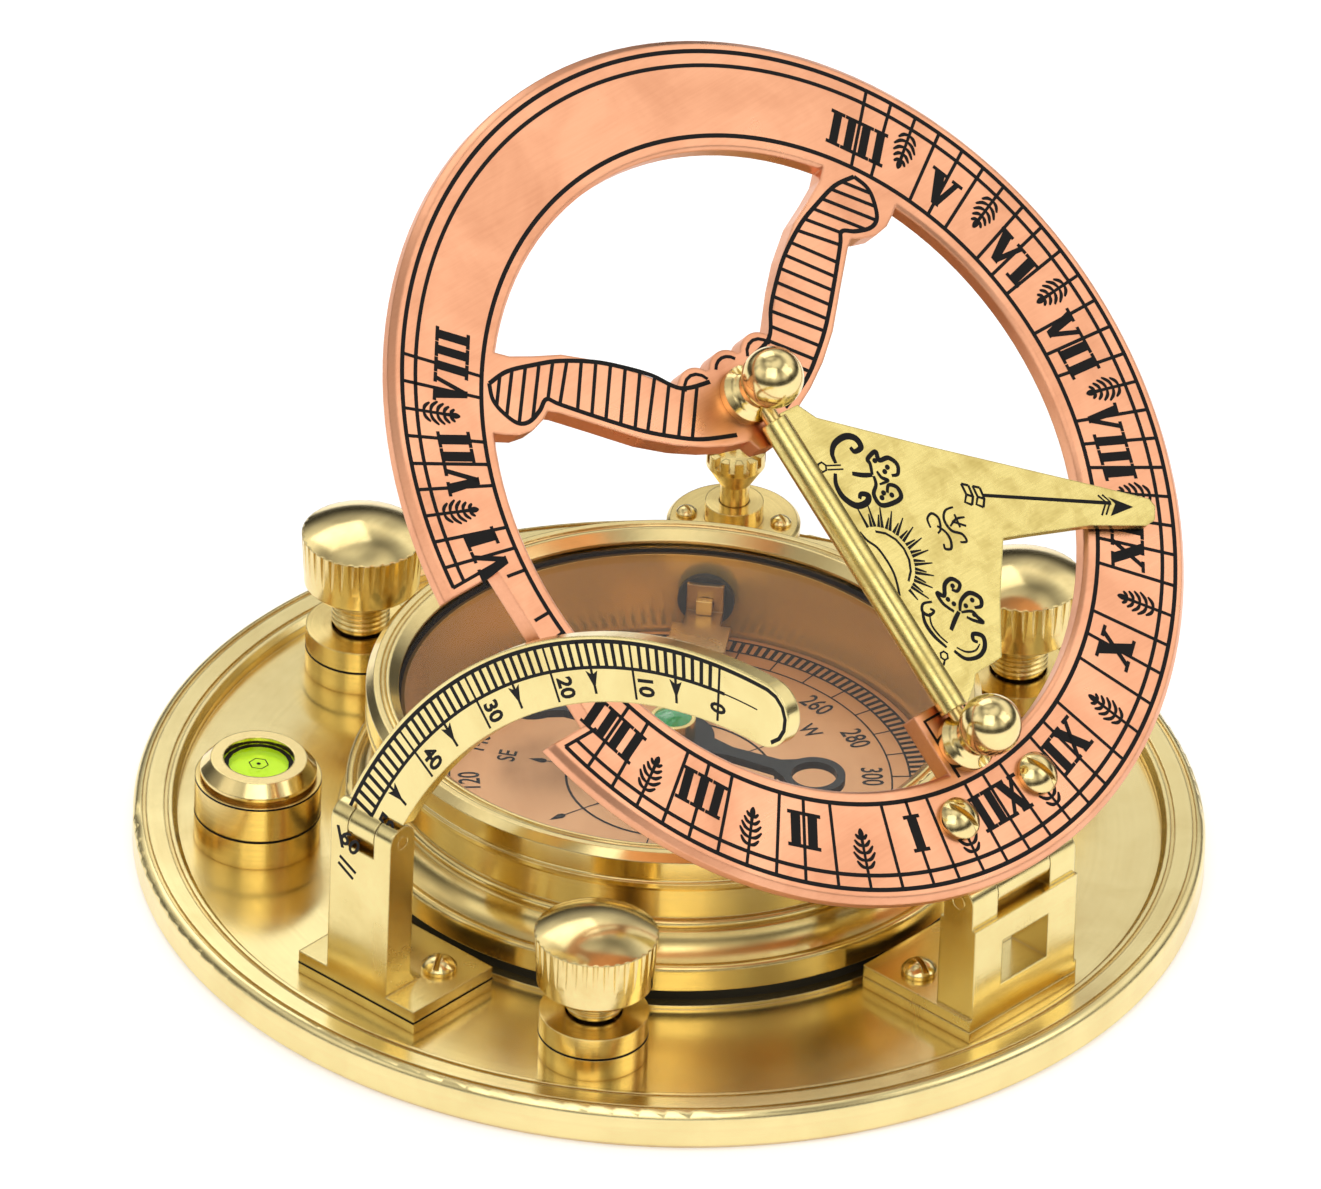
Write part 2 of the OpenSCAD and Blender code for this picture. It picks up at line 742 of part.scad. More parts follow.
module hinge_block() {
    half = block_w / 2;
    gap = leaf_knuckle / 2 + 0.15;
    shoulder = hinge_z - knuckle_r - 0.8;
    color(bright_brass) difference() {
        union() {
            translate([0, 0, upper_z]) linear_extrude(layer_t) hinge_foot_outline();
            translate([-half, -hinge_r - block_d / 2, upper_z]) cube([block_w, block_d, shoulder - upper_z]);
            for (s = [-1, 1]) translate([s > 0 ? gap : -half, -hinge_r, 0]) {
                translate([0, -knuckle_r, upper_z]) cube([half - gap, 2 * knuckle_r, hinge_z - upper_z]);
                translate([0, 0, hinge_z]) rotate([0, 90, 0]) cylinder(r = knuckle_r, h = half - gap);
            }
        }
        translate([-block_w, -hinge_r, hinge_z]) rotate([0, 90, 0]) cylinder(r = ring_pin_r + 0.02, h = 2 * block_w);
        translate([-window_w / 2, -hinge_r - block_d, foot_top + 3]) cube([window_w, 2 * block_d, window_h]);
        foot_screw_places() cylinder(r = foot_screw_r + fit, h = foot_top + 0.2);
    }
}

module hinge_screws() {
    color(bright_brass) for (s = [-1, 1]) translate([s * hinge_screw_x, hinge_screw_y, foot_top])
        slotted(foot_head_r, foot_head_h, foot_screw_r, foot_screw_l - 0.2, 70);
}

module ring_pin() {
    color(brass) translate([-block_w / 2, -hinge_r, hinge_z]) rotate([0, 90, 0]) cylinder(r = ring_pin_r, h = block_w);
}

// screws through the hour ring, either side of noon
dial_screw_in = 9;
dial_screw_x = 6.8;
dial_screw_y = -(dial_r - dial_screw_in);
dial_slot_turn = 115;
dial_screw_r = 1.3;

module ring_leaf() {
    leaf_in = hinge_r - knuckle_r - 0.8;
    leaf_l = leaf_in - dial_in_r - 0.4;
    color(brass) on_dial() difference() {
        union() {
            translate([-leaf_w / 2, -leaf_in, leaf_drop - leaf_t]) cube([leaf_w, leaf_l, leaf_t - 0.01]);
            translate([-leaf_knuckle / 2, -hinge_r, leaf_drop - leaf_t]) cube([leaf_knuckle, hinge_r - leaf_in + 1, leaf_t - 0.01]);
            translate([-leaf_knuckle / 2, -hinge_r, 0]) rotate([0, 90, 0]) cylinder(r = knuckle_r, h = leaf_knuckle);
        }
        translate([-leaf_w, -hinge_r, 0]) rotate([0, 90, 0]) cylinder(r = ring_pin_r + fit, h = 2 * leaf_w);
        for (s = [-1, 1]) translate([s * dial_screw_x, dial_screw_y, 0]) cylinder(r = dial_screw_r + fit, h = dial_top);
    }
}

module ring_screws() {
    color(bright_brass) on_dial() for (s = [-1, 1]) translate([s * dial_screw_x, dial_screw_y, dial_top])
        slotted(2.6, 2, dial_screw_r, dial_t + leaf_t, dial_slot_turn);
}

// outline of one arm's half of the spider, drawn for this inner radius of the ring
spider_half = [
    [0, 3.3], [2.4, 3.8], [3, 5.2], [6, 5.9], [9, 7.1], [12.6, 9], [16.4, 11.6], [21, 15.7], [25, 19.2],
    [26.3, 20], [27.6, 19.4], [29.7, 18.9], [31.8, 19.2], [33.6, 20.1], [36, 21.6], [29.4, 29.8],
    [26.9, 27.8], [24, 26.5], [20.2, 25], [15.9, 22.2], [12.8, 19.6], [10, 16.9], [8.2, 15.2], [0, 14.8]
];
scallop_r = 2.9;
scallop_y = 13.3;
scallop_x = 5.4;

module spider_outline() {
    scale([grow, grow]) {
        polygon(spider_half);
        mirror([1, 0]) polygon(spider_half);
        for (k = [-1 : 1]) translate([k * scallop_x, scallop_y]) circle(scallop_r);
    }
}

module dial_ring() {
    lap = 1;
    color(copper) on_dial() difference() {
        union() {
            rotate_extrude($fn = 180) polygon([
                [dial_in_r + dial_edge * 0.6, leaf_drop], [dial_r - dial_edge, leaf_drop], [dial_r, leaf_drop + dial_edge],
                [dial_r, dial_top - dial_edge], [dial_r - dial_edge, dial_top], [dial_in_r + dial_edge * 0.6, dial_top],
                [dial_in_r, dial_top - dial_edge * 0.6], [dial_in_r, leaf_drop + dial_edge * 0.6]
            ]);
            translate([0, 0, leaf_drop]) linear_extrude(dial_t) {
                intersection() {
                    spider_outline();
                    circle(dial_in_r + lap, $fn = 180);
                }
                translate([-tab_w / 2, -dial_in_r - lap]) square([tab_w, tab_in + lap]);
            }
        }
        translate([-2 * dial_r, notch_low, 0]) cube([2 * dial_r - notch_x, notch_high - notch_low, 2 * dial_top]);
        for (s = [-1, 1]) translate([s * dial_screw_x, dial_screw_y, 0]) cylinder(r = dial_screw_r + fit, h = 2 * dial_top);
        for (y = [post_in, post_out]) translate([0, y, 0]) cylinder(r = post_shank_r + fit, h = 2 * dial_top);
    }
}

post_shank_r = 1.2;
post_base_r = 3.6;
post_waist_r = 2.5;

// ball-topped post, standing on the ring's upper face
module ball_post() {
    translate([0, 0, -dial_t]) cylinder(r = post_shank_r, h = dial_t + 1);
    difference() {
        union() {
            rotate_extrude() difference() {
                polygon([
                    [0, 0], [post_base_r, 0], [post_base_r, 1.1], [post_waist_r, 2.6], [post_waist_r, ball_h], [0, ball_h]
                ]);
                translate([post_base_r + 0.5, 2.9]) circle(1.5);
            }
            translate([0, 0, ball_h]) sphere(ball_d / 2);
        }
        translate([0, -10, rod_h]) rotate([-90, 0, 0]) cylinder(r = rod_d / 2 + 0.02, h = 20);
    }
}

module post_centre() {
    color(brass) on_dial() translate([0, post_in, dial_top]) ball_post();
}

module post_tab() {
    color(brass) on_dial() translate([0, post_out, dial_top]) ball_post();
}

module gnomon_rod() {
    over = 2.2;
    color(brass) on_dial() translate([0, post_out - over, dial_top + rod_h]) rotate([-90, 0, 0])
        cylinder(r = rod_d / 2, h = post_gap + 2 * over);
}

// outline of the folded gnomon on the ring: x from the rod, y from the ring's centre
gnomon_outline = [
    [0, 6.2], [4, 6], [5.4, 3.6], [17.5, -5.7], [35.2, -18.8], [42.4, -24.2], [42.6, -25.3], [41.4, -26.7], [39.9, -26.8],
    [32.4, -23.4], [23.4, -20.6], [20, -19.6], [14.6, -25.6], [10, -31.6], [5.2, -31.8], [4.2, -32.8], [2, -34.2],
    [0, -34.2]
];
roll_from = -34.1 * grow;
roll_to = 5.7 * grow;

module gnomon_plate() {
    color(bright_brass) on_dial() translate([0, 0, dial_top + rod_h]) rotate([0, gnomon_dip, 0]) difference() {
        union() {
            translate([0, 0, -gnomon_t / 2]) linear_extrude(gnomon_t)
                scale([grow, grow]) polygon(gnomon_outline);
            translate([0, roll_from, 0]) rotate([-90, 0, 0]) cylinder(r = roll_r, h = roll_to - roll_from);
        }
        translate([0, -dial_r, 0]) rotate([-90, 0, 0]) cylinder(r = rod_d / 2 + fit, h = 2 * dial_r);
    }
}

base_plate();
box_gasket();
box_screw();
compass_box();
bezel_ring();
box_glass();
dial_card();
pivot_pin();
needle();
needle_cap();
needle_jewel();
lift_lever();
lift_washer();
lift_knob();
level_base();
level_cup();
level_bezel();
level_lens();
level_liquid();
screw_collar(0);  // screw_collar_1
screw_collar(1);  // screw_collar_2
screw_collar(2);  // screw_collar_3
lock_ring(0);  // lock_ring_1
lock_ring(1);  // lock_ring_2
lock_ring(2);  // lock_ring_3
screw_stem(0);  // screw_stem_1
screw_stem(1);  // screw_stem_2
screw_stem(2);  // screw_stem_3
screw_head(0);  // screw_head_1
screw_head(1);  // screw_head_2
screw_head(2);  // screw_head_3
rest_pedestal();
rest_pillar();
rest_screws();
arc_packing();
arc_bracket();
arc_screws();
arc_pin();
latitude_arc();
hinge_packing();
hinge_block();
hinge_screws();
ring_pin();
ring_leaf();
ring_screws();
dial_ring();
post_centre();
post_tab();
gnomon_rod();
gnomon_plate();
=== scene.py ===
"""Looks of a brass sundial compass: its engraving, small turned details, finishes, studio and camera."""
import logging
import math
from dataclasses import dataclass, field, replace
from enum import Enum
from typing import Any, Callable, Sequence

import bmesh
import bpy
from mathutils import Matrix, Vector


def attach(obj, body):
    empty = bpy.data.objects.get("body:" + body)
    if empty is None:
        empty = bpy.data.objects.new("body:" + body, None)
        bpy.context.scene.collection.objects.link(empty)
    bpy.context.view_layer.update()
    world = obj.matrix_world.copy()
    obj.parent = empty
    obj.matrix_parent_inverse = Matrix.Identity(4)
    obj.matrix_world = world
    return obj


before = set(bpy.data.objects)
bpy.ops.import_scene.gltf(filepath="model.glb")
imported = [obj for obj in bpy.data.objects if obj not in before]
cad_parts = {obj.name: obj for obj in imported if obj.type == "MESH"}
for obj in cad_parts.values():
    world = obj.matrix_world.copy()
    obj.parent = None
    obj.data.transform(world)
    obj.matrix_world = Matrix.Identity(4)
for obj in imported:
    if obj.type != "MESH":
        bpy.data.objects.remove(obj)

log = logging.getLogger("sundial_compass")
MM = 0.001
Point = tuple[float, float]
Triple = tuple[float, float, float]
Tree = bpy.types.NodeTree
Socket = bpy.types.NodeSocket


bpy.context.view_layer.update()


def turn(degrees: float, axis: str) -> Matrix:
    """Returns a rotation about one axis."""
    return Matrix.Rotation(math.radians(degrees), 4, axis)


def shift(x: float = 0.0, y: float = 0.0, z: float = 0.0) -> Matrix:
    """Returns a move in millimetres."""
    return Matrix.Translation((x, y, z))


def polar(radius: float, degrees: float, centre: Point = (0.0, 0.0)) -> Point:
    """Returns the point at a radius and an angle round a centre."""
    a = math.radians(degrees)
    return centre[0] + radius * math.cos(a), centre[1] + radius * math.sin(a)


@dataclass(frozen=True)
class Places:
    """Frames in which the sub-assemblies are drawn, in millimetres, the same as in the solids."""

    tilt: float = 41.6
    hinge: Triple = (0.0, -53.5, 22.2)
    ring_top: float = 5.3
    rod_height: float = 7.2
    gnomon_drop: float = 1.0
    gnomon_reach: float = 44.0
    arc_pin: Triple = (-52.0, 0.3, 27.6)
    arc_lean: float = 7.0
    arc_front: float = 1.0

    def ring(self) -> Matrix:
        """Returns the frame of the hour ring, from its centre at the height of the hinge pin."""
        return shift(*self.hinge) @ turn(self.tilt, "X") @ shift(0, -self.hinge[1], 0)

    def gnomon(self) -> Matrix:
        """Returns the frame of the folded gnomon, from its rod. Its tip lies lower than the rod."""
        dip = math.degrees(math.asin(self.gnomon_drop / self.gnomon_reach))
        return self.ring() @ shift(0, 0, self.rod_height) @ turn(dip, "Y")

    def arc_face(self) -> Matrix:
        """Returns the frame of the graduated face of the latitude arc, read from outside."""
        upright = shift(*self.arc_pin) @ turn(self.arc_lean, "Y") @ turn(90, "Z") @ turn(90, "X")
        return upright @ turn(180, "Y") @ shift(0, 0, self.arc_front)


PLACES = Places()
RING_AXIS = {"centre": PLACES.hinge, "lean": (PLACES.tilt, 0.0, 0.0)}
LEVEL_SPOT = polar(49.0, 138.0)
SCREW_SPOTS = tuple(polar(49.0, direction) for direction in (91.5, 212.0, 345.0))
ROUND = 360.0
UPRIGHT = (0.0, 0.0, 0.0)


def linear(colour: str) -> tuple[float, float, float, float]:
    """Turns an sRGB hex colour into linear light.

    Args:
        colour: Six hex digits after a hash.

    Returns:
        Red, green, blue and an opaque alpha.
    """
    parts = [int(colour[i:i + 2], 16) / 255 for i in (1, 3, 5)]
    light = [c / 12.92 if c <= 0.04045 else ((c + 0.055) / 1.055) ** 2.4 for c in parts]
    return light[0], light[1], light[2], 1.0


def add_node(tree: Tree, kind: str, inputs: dict[Any, Any] | None = None, **settings: Any) -> bpy.types.Node:
    """Adds a node with its settings, input values and links.

    Args:
        tree: The node tree.
        kind: The node's type name, after ShaderNode.
        inputs: A value, or the socket to link, for each input by name or number.
        **settings: The node's own properties.

    Returns:
        The node.
    """
    node = tree.nodes.new("ShaderNode" + kind)
    for key, value in settings.items():
        setattr(node, key, value)
    for key, value in (inputs or {}).items():
        if isinstance(value, bpy.types.NodeSocket):
            tree.links.new(value, node.inputs[key])
        else:
            node.inputs[key].default_value = value
    return node


def new_tree(owner: Any) -> Tree:
    """Returns the emptied node tree of a material or a world."""
    owner.use_nodes = True
    owner.node_tree.nodes.clear()
    return owner.node_tree


def make_material(title: str, build: Callable[[Tree], Socket]) -> bpy.types.Material:
    """Makes a material of the shader that a finish builds in an empty tree."""
    material = bpy.data.materials.new(title)
    tree = new_tree(material)
    add_node(tree, "OutputMaterial", {"Surface": build(tree)})
    return material


def object_space(tree: Tree) -> Socket:
    """Returns the piece's own coordinates, in metres."""
    return add_node(tree, "TexCoord").outputs["Object"]


def number(tree: Tree, operation: str, a: Any, b: Any, clamp: bool = False) -> Socket:
    """Returns the result of an operation on two numbers."""
    return add_node(tree, "Math", {0: a, 1: b}, operation=operation, use_clamp=clamp).outputs[0]


def vectors(tree: Tree, operation: str, a: Any, b: Any = (0, 0, 0)) -> Socket:
    """Returns the vector that an operation makes of one or two vectors."""
    return add_node(tree, "VectorMath", {0: a, 1: b}, operation=operation).outputs[0]


def remap(tree: Tree, value: Any, source: Point = (0.0, 1.0), target: Point = (0.0, 1.0)) -> Socket:
    """Returns a value stretched from one range to another and held within it."""
    return add_node(tree, "MapRange", {
        "Value": value, "From Min": source[0], "From Max": source[1], "To Min": target[0],
        "To Max": target[1]}).outputs[0]


def blend(tree: Tree, share: Any, a: Any, b: Any) -> Socket:
    """Returns a mix of two colours."""
    return add_node(tree, "Mix", {0: share, 6: a, 7: b}, data_type="RGBA").outputs[2]


def noise(tree: Tree, where: Socket, scale: float, detail: float, roughness: float = 0.5,
          distortion: float = 0.0) -> Socket:
    """Returns a cloudy pattern over a vector."""
    return add_node(tree, "TexNoise", {
        "Vector": where, "Scale": scale, "Detail": detail, "Roughness": roughness,
        "Distortion": distortion}).outputs[0]


def seen_through_glass(tree: Tree, rays: Any) -> Socket:
    """Returns 1 for what the camera sees, also through glass, and 0 for other light."""
    return number(tree, "ADD", rays["Is Camera Ray"], rays["Is Transmission Ray"], clamp=True)


class Marks(Enum):
    """What the tool left on a metal surface."""

    LATHE = "concentric turning marks"
    BRUSHED = "straight brush marks"
    POLISHED = "buffed, with faint wipe marks"


STRETCH = {Marks.BRUSHED: (0.05, 1.0, 1.0), Marks.POLISHED: (0.35, 1.0, 0.6)}
BUMP_HEIGHT = 0.02 * MM
PAINTED_SHADE_REACH = 1.6 * MM


@dataclass(frozen=True)
class Metal:
    """A metal finish: its colour, tarnish, painted corner shade and the marks of its making, sized in
    millimetres.
    """

    title: str
    colour: str
    # tarnish: the stain colour, also mixed into corners as painted shade
    tarnish: str
    roughness: float
    marks: Marks
    pitch: float = 0.5
    depth: float = 0.35
    spread: float = 0.1
    blotch: float = 9.0
    stain: float = 0.35
    crevice: float = 0.6
    edge: float = 0.25
    metallic: float = 1.0
    grooved: float = 0.0
    centre: Triple = (0.0, 0.0, 0.0)
    lean: Triple = (0.0, 0.0, 0.0)
    bore: tuple[float, str, float] | None = None

    def tool_marks(self, tree: Tree, local: Socket, radius: Socket) -> Socket:
        """Returns the pattern of the tool: rings round the axis, or long streaks."""
        if self.marks is Marks.LATHE:
            height = add_node(tree, "SeparateXYZ", {0: local}).outputs["Z"]
            return add_node(tree, "TexNoise", {
                "W": number(tree, "ADD", radius, height), "Scale": 1 / self.pitch, "Detail": 4.0,
                "Roughness": 0.65}, noise_dimensions="1D").outputs[0]
        drawn = vectors(tree, "MULTIPLY", local, STRETCH[self.marks])
        return noise(tree, drawn, 1 / self.pitch, 5.0, 0.6)

    def worn_colour(self, tree: Tree, lines: Socket, cloud: Socket) -> Socket:
        """Returns the colour, tarnished in clouds and along the tool's marks, and darkened in the corners as
        painted shade.
        """
        clouds = remap(tree, cloud, (0.42, 0.72), (0.0, self.stain))
        streaks = remap(tree, lines, (0.3, 0.7), (0.0, self.stain * 0.45))
        # painted shade: the tarnish colour is mixed in where ambient occlusion finds corners and recesses
        open_to_light = add_node(tree, "AmbientOcclusion", {"Distance": PAINTED_SHADE_REACH}, samples=4).outputs["AO"]
        painted_corner_shade = remap(tree, open_to_light, (0.15, 0.8), (self.crevice, 0.0))
        total = number(tree, "ADD", number(tree, "ADD", clouds, streaks), painted_corner_shade, clamp=True)
        return blend(tree, total, linear(self.colour), linear(self.tarnish))

    def groove_tangent(self, tree: Tree, flat: Socket) -> Socket:
        """Returns the direction that draws highlights out into fans across the turned grooves."""
        around = vectors(tree, "CROSS_PRODUCT", (0, 0, 1), flat)
        tilted = add_node(tree, "VectorRotate", {"Vector": around, "Angle": math.radians(self.lean[0])},
                          rotation_type="X_AXIS").outputs[0]
        world = add_node(tree, "VectorTransform", {"Vector": tilted}, vector_type="VECTOR",
                         convert_from="OBJECT", convert_to="WORLD").outputs[0]
        normal = add_node(tree, "NewGeometry").outputs["Normal"]
        return vectors(tree, "NORMALIZE", vectors(tree, "CROSS_PRODUCT", normal, world))

    def build(self, tree: Tree) -> Socket:
        """Returns the finish's shader, with its patterns on Object coordinates."""
        local = add_node(tree, "Mapping", {
            "Vector": object_space(tree), "Location": [v * MM for v in self.centre],
            "Rotation": [math.radians(v) for v in self.lean], "Scale": (MM, MM, MM)},
            vector_type="TEXTURE").outputs[0]
        flat = vectors(tree, "MULTIPLY", local, (1, 1, 0))
        radius = add_node(tree, "VectorMath", {0: flat}, operation="LENGTH").outputs["Value"]
        lines = self.tool_marks(tree, local, radius)
        cloud = noise(tree, local, 1 / self.blotch, 5.0, 0.6, 0.4)
        base = self.worn_colour(tree, lines, cloud)
        metallic: Any = self.metallic
        # painted shade: inside the bore's radius the colour turns darker and less metallic
        if self.bore:
            inside = number(tree, "LESS_THAN", radius, self.bore[0])
            base = blend(tree, inside, base, linear(self.bore[1]))
            metallic = add_node(tree, "Mix", {0: inside, 2: metallic, 3: self.bore[2]}).outputs[0]
        smoothest = max(0.03, self.roughness - self.spread / 2)
        rough = remap(tree, cloud, (0.3, 0.7), (smoothest, self.roughness + self.spread))
        edge = add_node(tree, "Bevel", {"Radius": self.edge * MM}, samples=4).outputs[0]
        bump = add_node(tree, "Bump", {
            "Height": lines, "Strength": self.depth, "Distance": BUMP_HEIGHT, "Normal": edge}).outputs[0]
        shader = add_node(tree, "BsdfPrincipled", {
            "Base Color": base, "Metallic": metallic, "Roughness": rough, "Normal": bump})
        if self.grooved:
            tree.links.new(self.groove_tangent(tree, flat), shader.inputs["Tangent"])
            shader.inputs["Anisotropic"].default_value = self.grooved
        return shader.outputs[0]


@dataclass(frozen=True)
class Coating:
    """A paint, plastic or rubber finish with a fine grain and, where given, a painted glow, sized in
    millimetres.
    """

    title: str
    colour: str
    shade: str
    roughness: float
    grain: float = 0.3
    depth: float = 0.2
    coat: float = 0.0
    gloss: float = 0.5
    glow: float = 0.0

    def build(self, tree: Tree) -> Socket:
        """Returns the finish's shader, with its grain on Object coordinates."""
        grain = noise(tree, object_space(tree), 1 / (self.grain * MM), 3.0)
        base = blend(tree, grain, linear(self.colour), linear(self.shade))
        rough = remap(tree, grain, target=(self.roughness * 0.8, min(1.0, self.roughness * 1.2)))
        bump = add_node(tree, "Bump", {
            "Height": grain, "Strength": self.depth, "Distance": BUMP_HEIGHT}).outputs[0]
        shader = add_node(tree, "BsdfPrincipled", {
            "Base Color": base, "Roughness": rough, "Normal": bump, "Coat Weight": self.coat,
            "Specular IOR Level": self.gloss})
        # painted light: the part glows in its own colour though it is no lamp
        if self.glow:
            shader.inputs["Emission Color"].default_value = linear(self.colour)
            shader.inputs["Emission Strength"].default_value = self.glow
        return shader.outputs[0]


@dataclass(frozen=True)
class Glass:
    """Clear or tinted polished glass that lets the lamps' light through to what lies under it."""

    title: str
    colour: str
    ior: float

    def build(self, tree: Tree) -> Socket:
        """Returns the finish's shader, with a faint smear on Object coordinates."""
        rough = remap(tree, noise(tree, object_space(tree), 70.0, 3.0), target=(0.0, 0.02))
        pane = add_node(tree, "BsdfPrincipled", {
            "Base Color": linear(self.colour), "Roughness": rough, "IOR": self.ior,
            "Transmission Weight": 1.0}).outputs[0]
        clear = add_node(tree, "BsdfTransparent", {"Color": linear(self.colour)}).outputs[0]
        ray = add_node(tree, "LightPath").outputs["Is Shadow Ray"]
        return add_node(tree, "MixShader", {0: ray, 1: pane, 2: clear}).outputs[0]


class Finish(Enum):
    """Every finish of the instrument."""

    # polished sheet brass, faced on a lathe: pale yellow, with fine rings that catch the light
    DECK = Metal("brass_faced_on_lathe", "#f5e3a6", "#c49a48", 0.2, Marks.LATHE, pitch=0.55, depth=0.2,
                 spread=0.05, stain=0.16, grooved=0.8)
    # brass bar turned to shape and buffed: deeper gold in its own reflections
    TURNED = Metal("brass_turned_and_buffed", "#f0d892", "#b5893a", 0.2, Marks.LATHE, depth=0.25,
                   spread=0.06, stain=0.25, grooved=0.8)
    # turned brass again, but inside the bore a duller bronze brown and less metallic: painted shade of the
    # box walls
    BOX = Metal("brass_box_turned", "#f0d892", "#b5893a", 0.2, Marks.LATHE, pitch=0.45, spread=0.06,
                stain=0.28, grooved=0.8, bore=(32.2, "#e2b766", 0.65))
    # mirror buffed brass of knurled heads, bezels and screws: bright, with sharp reflections
    BRIGHT = Metal("brass_mirror_buffed", "#f4dfa0", "#b98f3c", 0.14, Marks.POLISHED, pitch=0.6,
                   depth=0.06, spread=0.05, stain=0.22)
    # rolled brass sheet: a fine brushed face that stays pale and even under the engraving
    SHEET = Metal("brass_sheet_brushed", "#efdd9d", "#c8a658", 0.2, Marks.BRUSHED, pitch=0.22,
                  depth=0.25, stain=0.25, edge=0.35)
    # unlacquered brass sheet of the gnomon: duller and greener, with small spots of tarnish
    GNOMON = Metal("brass_sheet_dull", "#e9d78c", "#b39a4c", 0.24, Marks.BRUSHED, pitch=0.25,
                   depth=0.25, stain=0.5, blotch=3.5, **RING_AXIS)
    # copper-washed brass, brushed straight across: pink, with a soft sheen
    COPPER = Metal("copper_wash_brushed", "#f1b08a", "#cf845c", 0.3, Marks.BRUSHED, pitch=0.3,
                   depth=0.45, blotch=14.0, edge=0.4, **RING_AXIS)
    # thin copper-washed card with a satin lacquer: browner and flatter than the ring
    CARD = Metal("copper_wash_satin", "#d6a478", "#b5835a", 0.38, Marks.LATHE, pitch=0.6, depth=0.2,
                 stain=0.25, metallic=0.75)
    # strip of old spring brass, darker than the case
    SPRING = Metal("brass_spring_strip", "#b9986a", "#6f5534", 0.3, Marks.BRUSHED, pitch=0.3,
                   depth=0.3, stain=0.5)
    # black enamel rubbed into the engraving: near black, with little gloss; also the painted shadow and grime
    # of the seam lines
    INK = Coating("enamel_black_fill_and_seam_shadow", "#060404", "#100c0a", 0.5, grain=0.25, depth=0.3, gloss=0.2)
    # black lacquered steel needle, with a dull sheen
    NEEDLE = Coating("steel_black_lacquer", "#070707", "#101010", 0.4, grain=0.4, depth=0.15, gloss=0.25)
    # moulded rubber gasket, matt black
    RUBBER = Coating("rubber_moulded_black", "#0a0a0a", "#171615", 0.62, grain=0.2, depth=0.4)
    # black fibre washer, matt and slightly brown
    FIBRE = Coating("fibre_washer_black", "#100e0d", "#221f1c", 0.6, grain=0.2, depth=0.4)
    # domed cabochon of green glass paste, glossy, with a faint painted glow
    JEWEL = Coating("glass_paste_green", "#0a7d3c", "#0e9a4a", 0.08, grain=0.8, depth=0.03, coat=1.0,
                    glow=0.05)
    # dyed spirit in the level: the one vivid green, with a painted glow that stands in for light shining
    # through it
    SPIRIT = Coating("spirit_dyed_green", "#b2d600", "#d4ec20", 0.15, grain=3.0, depth=0.02, coat=1.0,
                     glow=0.45)
    # watch-glass over the card: clear, with a weak reflection
    CRYSTAL = Glass("glass_polished_clear", "#fdfdfa", 1.2)
    # green-tinted glass over the spirit
    LENS = Glass("glass_polished_green", "#f0f9a0", 1.3)


class Wardrobe:
    """Makes each finish once for each axis it is turned round."""

    def __init__(self) -> None:
        """Starts with no material made."""
        self.made: dict[Any, bpy.types.Material] = {}

    def get(self, finish: Finish, centre: Triple | None = None, lean: Triple = UPRIGHT) -> bpy.types.Material:
        """Returns the material of a finish, made on its first use for each axis."""
        key = (finish, centre, lean)
        if key not in self.made:
            recipe = finish.value
            if centre is not None:
                recipe = replace(recipe, title=f"{recipe.title}_{len(self.made)}", centre=centre, lean=lean)
            self.made[key] = make_material(recipe.title, recipe.build)
        return self.made[key]

    def dress(self, finish: Finish, *nodes: str, centre: Triple | None = None,
              lean: Triple = UPRIGHT) -> None:
        """Gives solids of the frame their finish.

        Args:
            finish: The finish.
            *nodes: The solids' names.
            centre: A point of the axis that its marks run round, where it isn't the finish's own.
            lean: The lean of that axis, in degrees.
        """
        for node in nodes:
            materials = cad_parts[node].data.materials
            materials.clear()
            materials.append(self.get(finish, centre, lean))
            log.info("dressed %s as %s", node, finish.name)


WARDROBE = Wardrobe()


def finish_piece(name: str, bm: bmesh.types.BMesh, place: Matrix, finish: Finish, body: str) -> None:
    """Makes a bmesh drawn in millimetres into a piece at the origin that rides on a body.

    Args:
        name: The piece's name.
        bm: The mesh, which is freed.
        place: Its frame, in millimetres, which goes into the mesh.
        finish: Its finish.
        body: The body that it rides on.
    """
    bmesh.ops.transform(bm, matrix=Matrix.Scale(MM, 4) @ place, verts=bm.verts)
    for face in bm.faces:
        face.smooth = False
    mesh = bpy.data.meshes.new(name)
    bm.to_mesh(mesh)
    bm.free()
    mesh.materials.append(WARDROBE.get(finish))
    piece = bpy.data.objects.new(name, mesh)
    bpy.context.scene.collection.objects.link(piece)
    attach(piece, body)
    log.info("made %s with %d faces", name, len(mesh.polygons))


def spline(points: Sequence[Point], steps: int = 8) -> list[Point]:
    """Returns a smooth line through the points."""
    ends = [points[0], *points, points[-1]]
    line: list[Point] = []
    for a, b, c, d in zip(ends, ends[1:], ends[2:], ends[3:]):
        for k in range(steps):
            t = k / steps
            line.append(tuple(0.5 * (2 * q + (r - p) * t + (2 * p - 5 * q + 4 * r - s) * t * t
                                     + (3 * q - p - 3 * r + s) * t ** 3) for p, q, r, s in zip(a, b, c, d)))
    line.append(points[-1])
    return line


